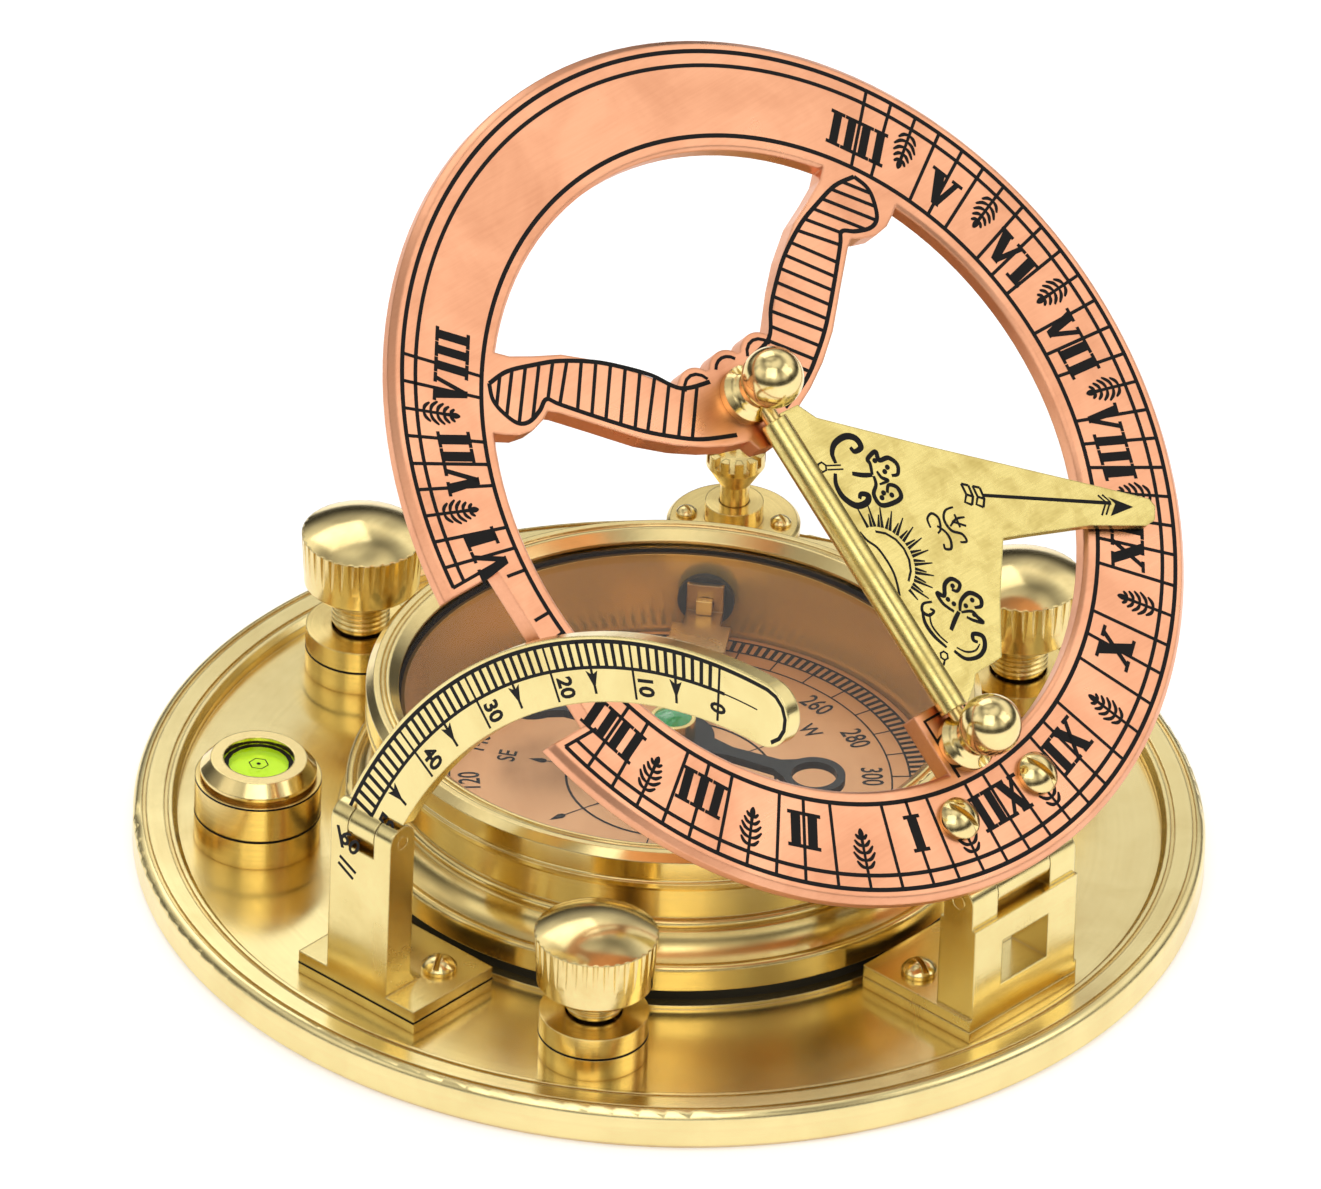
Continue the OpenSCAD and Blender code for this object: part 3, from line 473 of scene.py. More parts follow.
SLABS = [(0.01, 0.9), (0.4, 0.9), (0.4, 1), (0.01, 1)], [(0.56, 0.9), (0.85, 0.9), (0.85, 1), (0.56, 1)]
ROMAN: dict[str, tuple[float, list[list[Point]]]] = {
    "I": (0.46, [[(0.1, 0), (0.36, 0), (0.36, 1), (0.1, 1)], [(0.01, 0), (0.45, 0), (0.45, 0.1), (0.01, 0.1)],
                 [(0.01, 0.9), (0.45, 0.9), (0.45, 1), (0.01, 1)]]),
    "V": (0.86, [[(0.06, 1), (0.34, 1), (0.55, 0), (0.35, 0)], [(0.38, 0), (0.52, 0), (0.78, 1), (0.65, 1)],
                 *SLABS]),
    "X": (0.86, [[(0.06, 1), (0.34, 1), (0.8, 0), (0.52, 0)], [(0.08, 0), (0.21, 0), (0.78, 1), (0.65, 1)],
                 *SLABS, [(0.01, 0), (0.3, 0), (0.3, 0.1), (0.01, 0.1)],
                 [(0.46, 0), (0.85, 0), (0.85, 0.1), (0.46, 0.1)]]),
}
HAIR = 0.0004
HAIRS = 24
FILL_HEIGHT = 0.025
CAPITAL = 0.69


class Engraving:
    """Gathers enamel-filled marks on one plane, in millimetres, and makes them one piece."""

    def __init__(self) -> None:
        """Starts with a clean plate."""
        self.bm = bmesh.new()
        self.count = 0

    def rise(self) -> float:
        """Returns a height a hair above the last mark's, so that none lies in another's plane."""
        self.count += 1
        return HAIR * (self.count % HAIRS)

    def area(self, points: Sequence[Point]) -> None:
        """Fills an outline."""
        z = self.rise()
        face = self.bm.faces.new([self.bm.verts.new((x, y, z)) for x, y in points])
        face.normal_update()
        if face.normal.z < 0:
            face.normal_flip()
        if len(points) > 4:
            bmesh.ops.triangulate(self.bm, faces=[face])

    def line(self, a: Point, b: Point, width: float) -> None:
        """Cuts a straight line."""
        start, end = Vector(a), Vector(b)
        run = end - start
        side = Vector((-run.y, run.x)).normalized() * width / 2
        self.area([tuple(start - side), tuple(end - side), tuple(end + side), tuple(start + side)])

    def stroke(self, points: Sequence[Point], widths: Sequence[float]) -> None:
        """Cuts a line that swells and thins from point to point."""
        z = self.rise()
        rows = []
        for i, p in enumerate(points):
            run = Vector(points[min(i + 1, len(points) - 1)]) - Vector(points[max(i - 1, 0)])
            side = Vector((-run.y, run.x)).normalized() * max(widths[i], 0.02) / 2
            rows.append([self.bm.verts.new((*(Vector(p) + s * side), z)) for s in (-1, 1)])
        for (a, b), (c, d) in zip(rows, rows[1:]):
            self.bm.faces.new((a, c, d, b))

    def curl(self, points: Sequence[Point], width: float, thin: float = 0.35) -> None:
        """Cuts a smooth scroll, thick in the middle and thin at its ends."""
        line = spline(points)
        last = len(line) - 1
        swell = [thin + (1 - thin) * math.sin(math.pi * i / last) for i in range(last + 1)]
        self.stroke(line, [width * s for s in swell])

    def path(self, points: Sequence[Point], width: float, smooth: bool = False) -> None:
        """Cuts a line of even width through the points."""
        line = spline(points) if smooth else list(points)
        self.stroke(line, [width] * len(line))

    def arc(self, radius: float, start: float, end: float, width: float, centre: Point = (0.0, 0.0)) -> None:
        """Cuts a round line from one angle to another, by spinning a short edge."""
        z = self.rise()
        a = [self.bm.verts.new((*polar(radius + s * width / 2, start, centre), z)) for s in (-1, 1)]
        edge = self.bm.edges.new(a)
        swept = abs(end - start)
        bmesh.ops.spin(self.bm, geom=[edge, *a], cent=(*centre, z), axis=(0, 0, 1), use_duplicate=False,
                       angle=math.radians(end - start), steps=max(6, int(swept * radius / 75)),
                       use_merge=swept >= 359.9)

    def dot(self, at: Point, radius: float) -> None:
        """Fills a small disc."""
        bmesh.ops.create_circle(self.bm, cap_ends=True, radius=radius, segments=20,
                                matrix=shift(*at, self.rise()))

    def words(self, text: str, at: Point, up: float, height: float, wide: float, bold: float) -> None:
        """Cuts plain figures or letters.

        Args:
            text: What is cut.
            at: The middle of the text.
            up: The angle to which its tops point.
            height: The height of its capitals.
            wide: Its width against the plain letter.
            bold: How much each stroke is thickened.
        """
        curve = bpy.data.curves.new("figures", "FONT")
        curve.body = text
        curve.size = 1.0
        curve.offset = bold
        curve.resolution_u = 3
        holder = bpy.data.objects.new("figures", curve)
        bpy.context.scene.collection.objects.link(holder)
        mesh = bpy.data.meshes.new_from_object(holder.evaluated_get(bpy.context.evaluated_depsgraph_get()))
        low = [min(v.co[i] for v in mesh.vertices) for i in (0, 1)]
        high = [max(v.co[i] for v in mesh.vertices) for i in (0, 1)]
        size = height / CAPITAL
        scale = Matrix.Diagonal((size * wide, size, 1, 1))
        centred = shift(-(low[0] + high[0]) / 2, -(low[1] + high[1]) / 2)
        mesh.transform(shift(*at, self.rise()) @ turn(up - 90, "Z") @ scale @ centred)
        self.bm.from_mesh(mesh)
        bpy.data.meshes.remove(mesh)
        bpy.data.objects.remove(holder)
        bpy.data.curves.remove(curve)

    def roman(self, text: str, at: Point, up: float, height: float, wide: float = 1.0) -> None:
        """Cuts a slab-serif Roman numeral with its middle at a point and its tops to an angle."""
        total = sum(ROMAN[c][0] for c in text)
        out = Vector(polar(1, up))
        read = Vector((out.y, -out.x))
        x = -total / 2
        for c in text:
            advance, shapes = ROMAN[c]
            for shape in shapes:
                self.area([tuple(Vector(at) + read * (x + u) * height * wide + out * (v - 0.5) * height)
                           for u, v in shape])
            x += advance

    def make(self, name: str, place: Matrix, body: str) -> None:
        """Makes the marks a piece that lies a hair over its plate."""
        for face in self.bm.faces:
            face.normal_update()
            if face.normal.z < 0:
                face.normal_flip()
        finish_piece(name, self.bm, place @ shift(0, 0, FILL_HEIGHT), Finish.INK, body)


ARM_UPPER = [(3.4, 13.6), (7.6, 14.6), (10.3, 17.6), (13.3, 20.1), (16.5, 22.3), (20.8, 24.4), (24.4, 25.5),
             (28.4, 26.4), (31.6, 26.2)]
ARM_LOWER = [(4.2, 6.6), (9, 8.2), (12.4, 10.1), (16, 12.6), (20.4, 16.4), (24.3, 20), (25.6, 21.3),
             (27.4, 20.5), (29.6, 20), (31.2, 20.6), (32.2, 22.6), (32.4, 24.4), (31.6, 26.2)]
TAB_LINE = [(-3.2, -41.2), (-3.2, -33.5), (3.2, -33.5), (3.2, -41.2)]


def point_along(line: Sequence[Point], part: float) -> Point:
    """Returns the point at a share of a line's length."""
    lengths = [0.0]
    for a, b in zip(line, line[1:]):
        lengths.append(lengths[-1] + (Vector(b) - Vector(a)).length)
    goal = part * lengths[-1]
    for i, (p, q) in enumerate(zip(lengths, lengths[1:])):
        if q >= goal:
            return tuple(Vector(line[i]).lerp(Vector(line[i + 1]), (goal - p) / max(q - p, 1e-6)))
    return line[-1]


@dataclass
class HourRing:
    """The tilting copper ring with its hour scale, its two arms and the tab for the gnomon's post."""

    outer_line: float = 52.8
    second_line: float = 51.0
    inner_line: float = 42.1
    notch_low: float = -14.0
    notch_high: float = 6.6
    notch_in: float = 45.3
    notch_edge: float = 0.95
    radial_width: float = 0.42
    rungs: int = 16
    post_spots: tuple[float, float] = (10.0, -38.0)
    hours: tuple[float, ...] = (0, 16.5, 36, 53.5, 69.7, 85.5, 101, 115.3, 130.5, 144.5)
    east: tuple[str, ...] = ("XII", "XI", "X", "IX", "VIII", "VII", "VI", "V", "IIII")
    west: tuple[str, ...] = ("XII", "I", "II", "III", "IIII", "V", "VI", "VII", "VIII")
    letter_widths: tuple[float, ...] = (1.15, 1.08, 1.0, 0.94)
    marks: Engraving = field(default_factory=Engraving)

    def angle(self, hour: float, side: int) -> float:
        """Returns where an hour stands on the ring, in degrees from +X."""
        low = min(int(hour), len(self.hours) - 2)
        part = hour - low
        return -90 + side * (self.hours[low] * (1 - part) + self.hours[low + 1] * part)

    def in_notch(self, degrees: float) -> bool:
        """Returns whether a radial line at this angle would run into the notch."""
        x, y = polar(49, degrees)
        return x < 0 and self.notch_low - 1.2 < y < self.notch_high + 1.2

    def radial(self, degrees: float, inner: float, outer: float, width: float) -> None:
        """Cuts a radial line, cut short where the notch is."""
        if self.in_notch(degrees):
            outer = min(outer, (self.notch_in - 0.7) / abs(math.cos(math.radians(degrees))))
        if outer > inner:
            self.marks.line(polar(inner, degrees), polar(outer, degrees), width)

    def borders(self) -> None:
        """Cuts the round border lines and the line that follows the notch."""
        top, low = self.notch_high + self.notch_edge, self.notch_low - self.notch_edge
        for r, w in ((self.outer_line, 0.55), (self.second_line, 0.5)):
            start = -180 + math.degrees(math.asin(-low / r))
            end = 180 - math.degrees(math.asin(top / r))
            self.marks.arc(r, start, end, w)
        self.marks.arc(self.inner_line, 0, ROUND, 0.56)
        x = -(self.notch_in - 0.55)
        for y in (top, low):
            rim = -math.sqrt(self.outer_line ** 2 - y * y) - 0.1
            self.marks.line((rim, y), (x - 0.6, y), self.radial_width)

    def scale(self) -> None:
        """Cuts the hour lines, the numerals and the half-hour ferns."""
        band = self.second_line - self.inner_line
        for side, names in ((1, self.east), (-1, self.west)):
            for hour in range(0 if side > 0 else 1, 9):
                for step in (-0.25, 0.0, 0.25) if hour < 8 else (-0.25, 0.0):
                    a = self.angle(hour + step, side)
                    if hour + step < 0:
                        a = -90 - side * (self.angle(-step, 1) + 90)
                    self.radial(a, self.inner_line, self.outer_line, self.radial_width)
                a = self.angle(hour, side)
                if self.in_notch(a):
                    self.marks.roman("V", polar(self.inner_line + 1.5, a), a, 1.7, 0.7)
                    continue
                wide = self.letter_widths[len(names[hour]) - 1]
                self.marks.roman(names[hour], polar(self.inner_line + band * 0.46, a), a, band * 0.52, wide)
            for hour in range(8):
                a = self.angle(hour + 0.5, side)
                if not self.in_notch(a):
                    self.fern(a)

    def fern(self, degrees: float) -> None:
        """Cuts a half-hour tick and the little fern that grows inward from it."""
        self.radial(degrees, self.second_line, self.outer_line, 0.4)
        out = Vector(polar(1, degrees))
        side = Vector((-out.y, out.x))
        root = out * self.second_line
        self.marks.stroke([tuple(root), tuple(root - out * 3), tuple(root - out * 5.3)], [0.4, 0.36, 0.5])
        for k in range(5):
            at = root - out * (0.9 + k * 0.92)
            reach = 1.55 - abs(k - 1.2) * 0.27
            for s in (-1, 1):
                tip = at - out * reach * 0.75 + side * s * reach
                mid = at - out * reach * 0.2 + side * s * reach * 0.55
                self.marks.curl([tuple(at), tuple(mid), tuple(tip)], 0.46, 0.45)
        self.marks.curl([tuple(root - out * reach) for reach in (4.4, 5.2, 5.9)], 0.75, 0.2)

    def arms(self) -> None:
        """Cuts the borders, the rungs and the scallops of the two arms."""
        for s in (-1, 1):
            top = spline([(s * x, y) for x, y in ARM_UPPER], 6)
            low = spline([(s * x, y) for x, y in ARM_LOWER], 6)
            self.marks.path(top, 0.55)
            self.marks.path(low, 0.55)
            rung = Vector((-0.7 * s, 0.71))
            for k in range(1, self.rungs):
                a = Vector(point_along(top, k / self.rungs))
                b = min((Vector(q) for q in low),
                        key=lambda q: abs((q - a).cross(rung)) + (9 if (q - a).dot(rung) > -1 else 0))
                self.marks.line(tuple(a), tuple(b), 0.46)
        for k, open_angle in ((-1, 20), (0, 35), (1, 20)):
            self.marks.arc(2.05, open_angle, 180 - open_angle, 0.42, (k * 5.4, 13.3))

    def build(self) -> None:
        """Engraves the ring and dresses its solids."""
        self.borders()
        self.scale()
        self.arms()
        self.marks.path(TAB_LINE, 0.45)
        self.marks.make("hour_ring_engraving", PLACES.ring() @ shift(0, 0, PLACES.ring_top), "hour_ring")
        WARDROBE.dress(Finish.COPPER, "dial_ring")
        WARDROBE.dress(Finish.SHEET, "ring_leaf")
        WARDROBE.dress(Finish.BRIGHT, "ring_screws")
        for node, y in zip(("post_centre", "post_tab"), self.post_spots):
            spot = tuple(PLACES.ring() @ Vector((0, y, 0)))
            WARDROBE.dress(Finish.BRIGHT, node, centre=spot, lean=RING_AXIS["lean"])
        WARDROBE.dress(Finish.TURNED, "gnomon_rod", centre=PLACES.hinge, lean=(PLACES.tilt + 90, 0.0, 0.0))


@dataclass
class Gnomon:
    """The folded gnomon plate with its ornament."""

    thickness: float = 1.2
    marks: Engraving = field(default_factory=Engraving)

    def cut(self, width: float, thin: float, *tenths: int) -> None:
        """Cuts a scroll through points that are given in tenths of a millimetre."""
        points = [(x / 10, y / 10) for x, y in zip(tenths[::2], tenths[1::2])]
        self.marks.curl(points, width, thin)

    def scrolls(self) -> None:
        """Cuts the scrolls and sprays at the two ends of the plate."""
        cut = self.cut
        cut(0.85, 0.5, 42, -22, 45, -10, 57, -1, 76, 0, 88, -8, 88, -20, 76, -21, 74, -14)
        cut(0.85, 0.5, 33, -32, 25, -44, 24, -61, 34, -77, 50, -80, 58, -74, 50, -68, 44, -72)
        for side in (-0.28, 0.28):
            self.marks.line((2.6, -2.1 + side), (4.7, -2.95 + side), 0.2)
        self.marks.arc(0.62, 0, ROUND, 0.26, (2.1, -1.8))
        cut(0.62, 0.8, 55, -42, 68, -50, 80, -55)
        cut(0.62, 0.6, 80, -55, 86, -43, 87, -36, 103, -33, 101, -44, 115, -47, 121, -59, 114, -69,
            105, -67)
        cut(0.62, 0.6, 81, -57, 77, -67, 66, -76, 67, -91, 86, -96, 100, -94, 102, -82, 93, -75, 85, -82)
        cut(0.45, 0.6, 89, -54, 90, -63, 96, -70, 82, -69)
        for at in ((9.5, -4.2), (10.6, -5.6), (8.0, -8.0), (8.9, -8.7), (7.4, -8.4), (9.9, -5.9)):
            self.marks.dot(at, 0.34)
        cut(0.4, 0.7, 46, -225, 49, -230, 39, -231, 34, -223, 41, -216, 54, -219)
        cut(0.5, 0.6, 34, -223, 28, -237, 29, -255, 36, -274)
        cut(0.26, 0.6, 42, -229, 35, -242, 36, -257, 41, -270)
        cut(0.6, 0.6, 43, -282, 52, -297, 71, -302, 86, -296, 92, -284, 82, -276, 77, -282, 81, -287)
        cut(0.26, 0.6, 49, -280, 58, -290, 71, -294, 82, -290)
        self.marks.arc(0.55, 0, ROUND, 0.26, (2.6, -28.1))
        cut(0.3, 0.7, 23, -286, 17, -290, 13, -287)
        cut(0.6, 0.8, 56, -259, 69, -251, 81, -245)
        cut(0.58, 0.6, 75, -242, 67, -227, 68, -213, 75, -220, 85, -209, 98, -207, 105, -217, 96, -223,
            90, -218)
        cut(0.6, 0.6, 83, -245, 93, -235, 110, -232, 120, -243, 115, -252, 105, -250)
        cut(0.5, 0.6, 84, -247, 98, -252, 101, -261, 104, -270, 94, -263, 87, -255)
        for at in ((7.7, -22.6), (9.4, -21.5), (10.8, -24.1), (8.1, -23.4), (9.9, -25.7), (9.5, -24.3)):
            self.marks.dot(at, 0.32)

    def sun(self) -> None:
        """Cuts the half sun that rises from the rolled edge."""
        centre = (2.2, -15.0)
        self.marks.arc(3.9, -62, 66, 0.3, centre)
        self.marks.path([(1.7, -10.6), (2.0, -11.9), (2.7, -13.2), (2.9, -15), (2.8, -16.6), (2.4, -17.9),
                         (1.7, -19.4)], 0.3, True)
        for k in range(24):
            a = -74 + k * 6.6
            reach, bend = (7.1, 3.0) if k % 2 else (6.1, -1.5)
            near, far = polar(4.5, a, centre), polar(reach, a + bend, centre)
            if far[0] > 1.75:
                self.marks.stroke([near, far], [0.42, 0.15])

    def middle(self) -> None:
        """Cuts the small knot and the feathered arrow that points to the hour scale."""
        cut = self.cut
        cut(0.34, 0.7, 113, -143, 116, -132, 126, -129, 131, -138, 125, -150, 118, -153)
        cut(0.36, 0.7, 159, -135, 146, -134, 137, -143, 138, -158, 149, -168, 149, -178, 140, -175)
        cut(0.36, 0.7, 123, -145, 129, -156, 129, -167, 123, -176, 115, -173, 117, -167)
        cut(0.32, 0.7, 140, -153, 153, -149, 166, -152)
        self.marks.line((15.5, -14.3), (15.2, -16.0), 0.28)
        self.marks.line((14.6, -14.9), (16.1, -16.2), 0.28)
        self.marks.stroke([(20.7, -14.0), (37.0, -22.4)], [0.42, 0.46])
        self.marks.area([(39.6, -24.1), (37.1, -21.6), (37.5, -22.7), (35.9, -23.7)])
        for x, y in ((36.5, -21.0), (35.9, -20.8)):
            self.marks.path([(x, y), (x + 0.5, y - 1.2), (x - 1.1, y - 2.3)], 0.24)
        for x, y in ((18.9, -11.6), (20.2, -12.5)):
            self.marks.path([(x, y), (x - 0.2, y - 1.4), (x - 1.0, y - 2.1), (x - 0.3, y - 2.8)], 0.32)
            self.marks.path([(x + 0.8, y - 0.6), (x + 0.5, y - 2.0), (x - 0.3, y - 2.8)], 0.32)
            self.marks.line((x, y), (x + 0.8, y - 0.6), 0.3)
            self.marks.line((x - 0.2, y - 1.4), (x + 0.5, y - 2.0), 0.3)

    def build(self) -> None:
        """Engraves the plate and dresses it."""
        self.scrolls()
        self.sun()
        self.middle()
        self.marks.make("gnomon_engraving", PLACES.gnomon() @ shift(0, 0, self.thickness / 2), "gnomon")
        WARDROBE.dress(Finish.GNOMON, "gnomon_plate")


@dataclass
class LatitudeArc:
    """The hinged arc with its degree scale."""

    mean: float = 58.2
    width: float = 8.0
    root: float = 17.4
    zero: float = 84.1
    per_degree: float = 1.32
    last_degree: int = 52
    border: float = 0.65
    band_width: float = 3.8
    tip: float = 89.0
    marks: Engraving = field(default_factory=Engraving)

    def angle(self, value: float) -> float:
        """Returns where a latitude stands on the arc, in degrees."""
        return 180 - (self.zero - self.per_degree * value)

    def centre(self) -> Point:
        """Returns the centre of the arc, from its pin."""
        a = math.radians(self.root)
        return self.mean * math.cos(a), -self.mean * math.sin(a)

    def borders(self, line: float, band: float) -> None:
        """Cuts the lines along the arc and round its tip."""
        centre, root = self.centre(), self.angle(self.last_degree)
        self.marks.arc(line, root, self.tip, 0.5, centre)
        self.marks.arc(band, root, self.tip + 6, 0.4, centre)
        self.marks.arc(band, self.tip + 6, self.tip + 1, 0.16, centre)
        middle = polar(self.mean, self.tip, centre)
        self.marks.arc(self.width / 2 - self.border, self.tip, self.tip - 150, 0.5, middle)

    def arrow(self, band: float, value: float) -> None:
        """Cuts the arrow that marks the fives."""
        angle, centre = self.angle(value), self.centre()
        foot = polar(band, angle, centre)
        out = Vector(polar(1 + band, angle, centre)) - Vector(foot)
        side = Vector((-out.y, out.x))
        head = Vector(polar(band - 1.1, angle, centre))
        self.marks.line(foot, tuple(head - out * 2.1), 0.36)
        barbs = [tuple(head + s * side * 0.95 + out * 0.7) for s in (1, -1)]
        self.marks.area([tuple(head - out * 1.5), barbs[0], tuple(head + out * 0.2), barbs[1]])

    def scale(self, line: float, band: float) -> None:
        """Cuts the degrees, the arrows and the figures."""
        centre, inner = self.centre(), self.mean - self.width / 2
        for value in range(self.last_degree + 1):
            a = self.angle(value)
            end, wide = (inner + 0.5, 0.32) if value % 10 == 0 else (band, 0.52)
            self.marks.line(polar(line, a, centre), polar(end, a, centre), wide)
            if value % 10 == 5:
                self.arrow(band, value)
        for value in (10, 20, 30, 40, 50):
            at = polar(band - 2.15, self.angle(value - 1.4), centre)
            self.marks.words(str(value), at, self.angle(value) - 90, 2.25, 0.8, 0.03)
        self.marks.words("0", polar(band - 2.1, self.angle(0), centre), self.angle(0) - 90, 2.2, 0.85, 0.025)

    def bracket(self) -> None:
        """Cuts the figure and the strokes on the outer face of the bracket."""
        post = Engraving()
        post.words("60", (-1.6, 0.0), 62, 2.3, 0.9, 0.02)
        post.line((-3.6, 1.5), (-2.8, -1.3), 0.45)
        post.line((-3.2, -2.6), (-0.6, -3.9), 0.4)
        post.line((-3.4, -3.6), (-1.0, -4.9), 0.4)
        post.make("bracket_mark", shift(-54.1, 0.3, 25.6) @ turn(-90, "Y") @ turn(-90, "Z"), "base")

    def build(self) -> None:
        """Engraves the visible face and dresses the arc with its bracket."""
        outer = self.mean + self.width / 2
        line, band = outer - self.border, outer - self.band_width
        self.borders(line, band)
        self.scale(line, band)
        self.marks.make("latitude_scale", PLACES.arc_face(), "latitude_arc")
        self.bracket()
        WARDROBE.dress(Finish.SHEET, "latitude_arc", "arc_bracket", "arc_packing")
        WARDROBE.dress(Finish.BRIGHT, "arc_screws")
        WARDROBE.dress(Finish.TURNED, "arc_pin")


@dataclass
class Compass:
    """The box with its printed card, needle, glass and lifter."""

    card_top: float = 9.4
    north: float = -104.0
    tick_out: float = 30.6
    tick_in: float = 28.4
    circle: float = 26.2
    rose: float = 12.4
    figures: float = 23.9
    letters: float = 19.8
    spike: float = 17.2
    knob_axis: float = 35.0
    knob_height: float = 14.8
    marks: Engraving = field(default_factory=Engraving)

    def degree_ring(self) -> None:
        """Prints the circles, the degree ticks and their figures."""
        for r, w in ((self.tick_out, 0.3), (self.tick_in, 0.26), (self.circle, 0.22), (self.rose, 0.3)):
            self.marks.arc(r, 0, ROUND, w)
        for k in range(180):
            a = self.north - 2 * k
            self.marks.line(polar(self.tick_in, a), polar(self.tick_out, a), 0.5)
            if k % 5 == 0:
                self.marks.line(polar(self.circle, a), polar(self.tick_in, a), 0.2)
        for value in range(20, 361, 20):
            a = self.north - value
            self.marks.words(str(value), polar(self.figures, a), a, 2.5, 0.72, 0.012)

    def star(self) -> None:
        """Prints the letters, the spikes and the rose, with the ornament of north."""
        cut = self.marks
        for k, name in enumerate(("N", "NE", "E", "SE", "S", "SW", "W", "NW")):
            a = self.north - 45 * k
            cut.words(name, polar(self.letters if k else 20.4, a), a, 2.1, 0.8, 0.012)
            cut.line(polar(2, a), polar(self.spike - 1.2, a), 0.16)
            cut.dot(polar(15.4, a), 0.42)
            wings = [polar(self.spike - back, a + turned) for back, turned in ((1.7, 2), (1.3, 0), (1.7, -2))]
            cut.area([polar(self.spike, a), *wings])
        for k in range(8):
            a = self.north - 45 * k
            long = 11.2 if k % 2 == 0 else 8.6
            cut.area([polar(0.6, a), polar(2.9, a - 22.5), polar(long, a)])
            cut.path([polar(0.6, a), polar(2.9, a + 22.5), polar(long, a)], 0.16)
        for s in (-1, 1):
            a, b = self.north, self.north - 45
            cut.curl([polar(r, a + s * d) for r, d in ((14, 2), (15.4, 8), (17, 7), (17.3, 3))], 0.5)
            cut.curl([polar(r, b + s * d) for r, d in ((14.4, 2), (15.6, 9), (17.4, 8))], 0.45)

    def build(self) -> None:
        """Prints the card and dresses the box."""
        self.degree_ring()
        self.star()
        self.marks.make("card_print", shift(0, 0, self.card_top), "base")
        for finish, node in (
                (Finish.BOX, "compass_box"), (Finish.BRIGHT, "bezel_ring"), (Finish.CARD, "dial_card"),
                (Finish.RUBBER, "box_gasket"), (Finish.CRYSTAL, "box_glass"), (Finish.NEEDLE, "needle"),
                (Finish.JEWEL, "needle_jewel"), (Finish.SPRING, "lift_lever"), (Finish.FIBRE, "lift_washer")):
            WARDROBE.dress(finish, node)
        WARDROBE.dress(Finish.TURNED, "box_screw", "pivot_pin", "needle_cap")
        WARDROBE.dress(Finish.TURNED, "lift_knob", centre=(*polar(1.0, self.knob_axis), self.knob_height),
                       lean=(90.0, 0.0, 90.0 + self.knob_axis))


@dataclass
class SpiritLevel:
    """The round level with its dyed spirit and its bubble ring."""

    window: float = 4.2
    bubble: float = 1.15
    lens_top: float = 13.68

    def build(self) -> None:
        """Marks the lens and dresses the level."""
        marks = Engraving()
        marks.arc(self.window - 0.32, 0, ROUND, 0.62)
        marks.arc(self.bubble, 0, ROUND, 0.16)
        marks.dot((0, 0), 0.26)
        marks.make("level_marks", shift(*LEVEL_SPOT, self.lens_top), "base")
        at = (*LEVEL_SPOT, 0.0)
        WARDROBE.dress(Finish.TURNED, "level_base", "level_cup", centre=at)
        WARDROBE.dress(Finish.BRIGHT, "level_bezel", centre=at)
        WARDROBE.dress(Finish.LENS, "level_lens")
        WARDROBE.dress(Finish.SPIRIT, "level_liquid")


@dataclass
class Levellers:
    """The three knurled levelling screws with their collars."""

    collar_top: float = 9.4
    head_low: float = 15.3
    core: float = 3.22
    crest: float = 3.5
    pitch: float = 0.7
    sides: int = 48
    drops: tuple[float, ...] = (0.0, 2.0, 0.0)

    def thread(self, number: int, at: Point) -> None:
        """Turns the visible thread round a stem, as rings of the thread's pitch."""
        bm = bmesh.new()
        z = self.collar_top + 0.75
        points = [(self.core, z)]
        while z + self.pitch < self.head_low - self.drops[number - 1] - 0.1:
            points += [(self.crest, z + self.pitch * 0.35), (self.crest, z + self.pitch * 0.6),
                       (self.core, z + self.pitch)]
            z += self.pitch
        verts = [bm.verts.new((r, 0, h)) for r, h in points]
        edges = [bm.edges.new(pair) for pair in zip(verts, verts[1:])]
        bmesh.ops.spin(bm, geom=[*verts, *edges], cent=(0, 0, 0), axis=(0, 0, 1), angle=math.tau,
                       steps=self.sides, use_merge=True)
        bmesh.ops.recalc_face_normals(bm, faces=bm.faces)
        body = f"levelling_screw_{number}"
        finish_piece(f"stem_thread_{number}", bm, shift(*at), Finish.TURNED, body)

    def build(self) -> None:
        """Threads the stems and dresses the screws."""
        for n, at in enumerate(SCREW_SPOTS, 1):
            self.thread(n, at)
            axis = (*at, 0.0)
            turned = [f"{name}_{n}" for name in ("screw_collar", "lock_ring", "screw_stem")]
            WARDROBE.dress(Finish.TURNED, *turned, centre=axis)
            WARDROBE.dress(Finish.BRIGHT, f"screw_head_{n}", centre=axis)


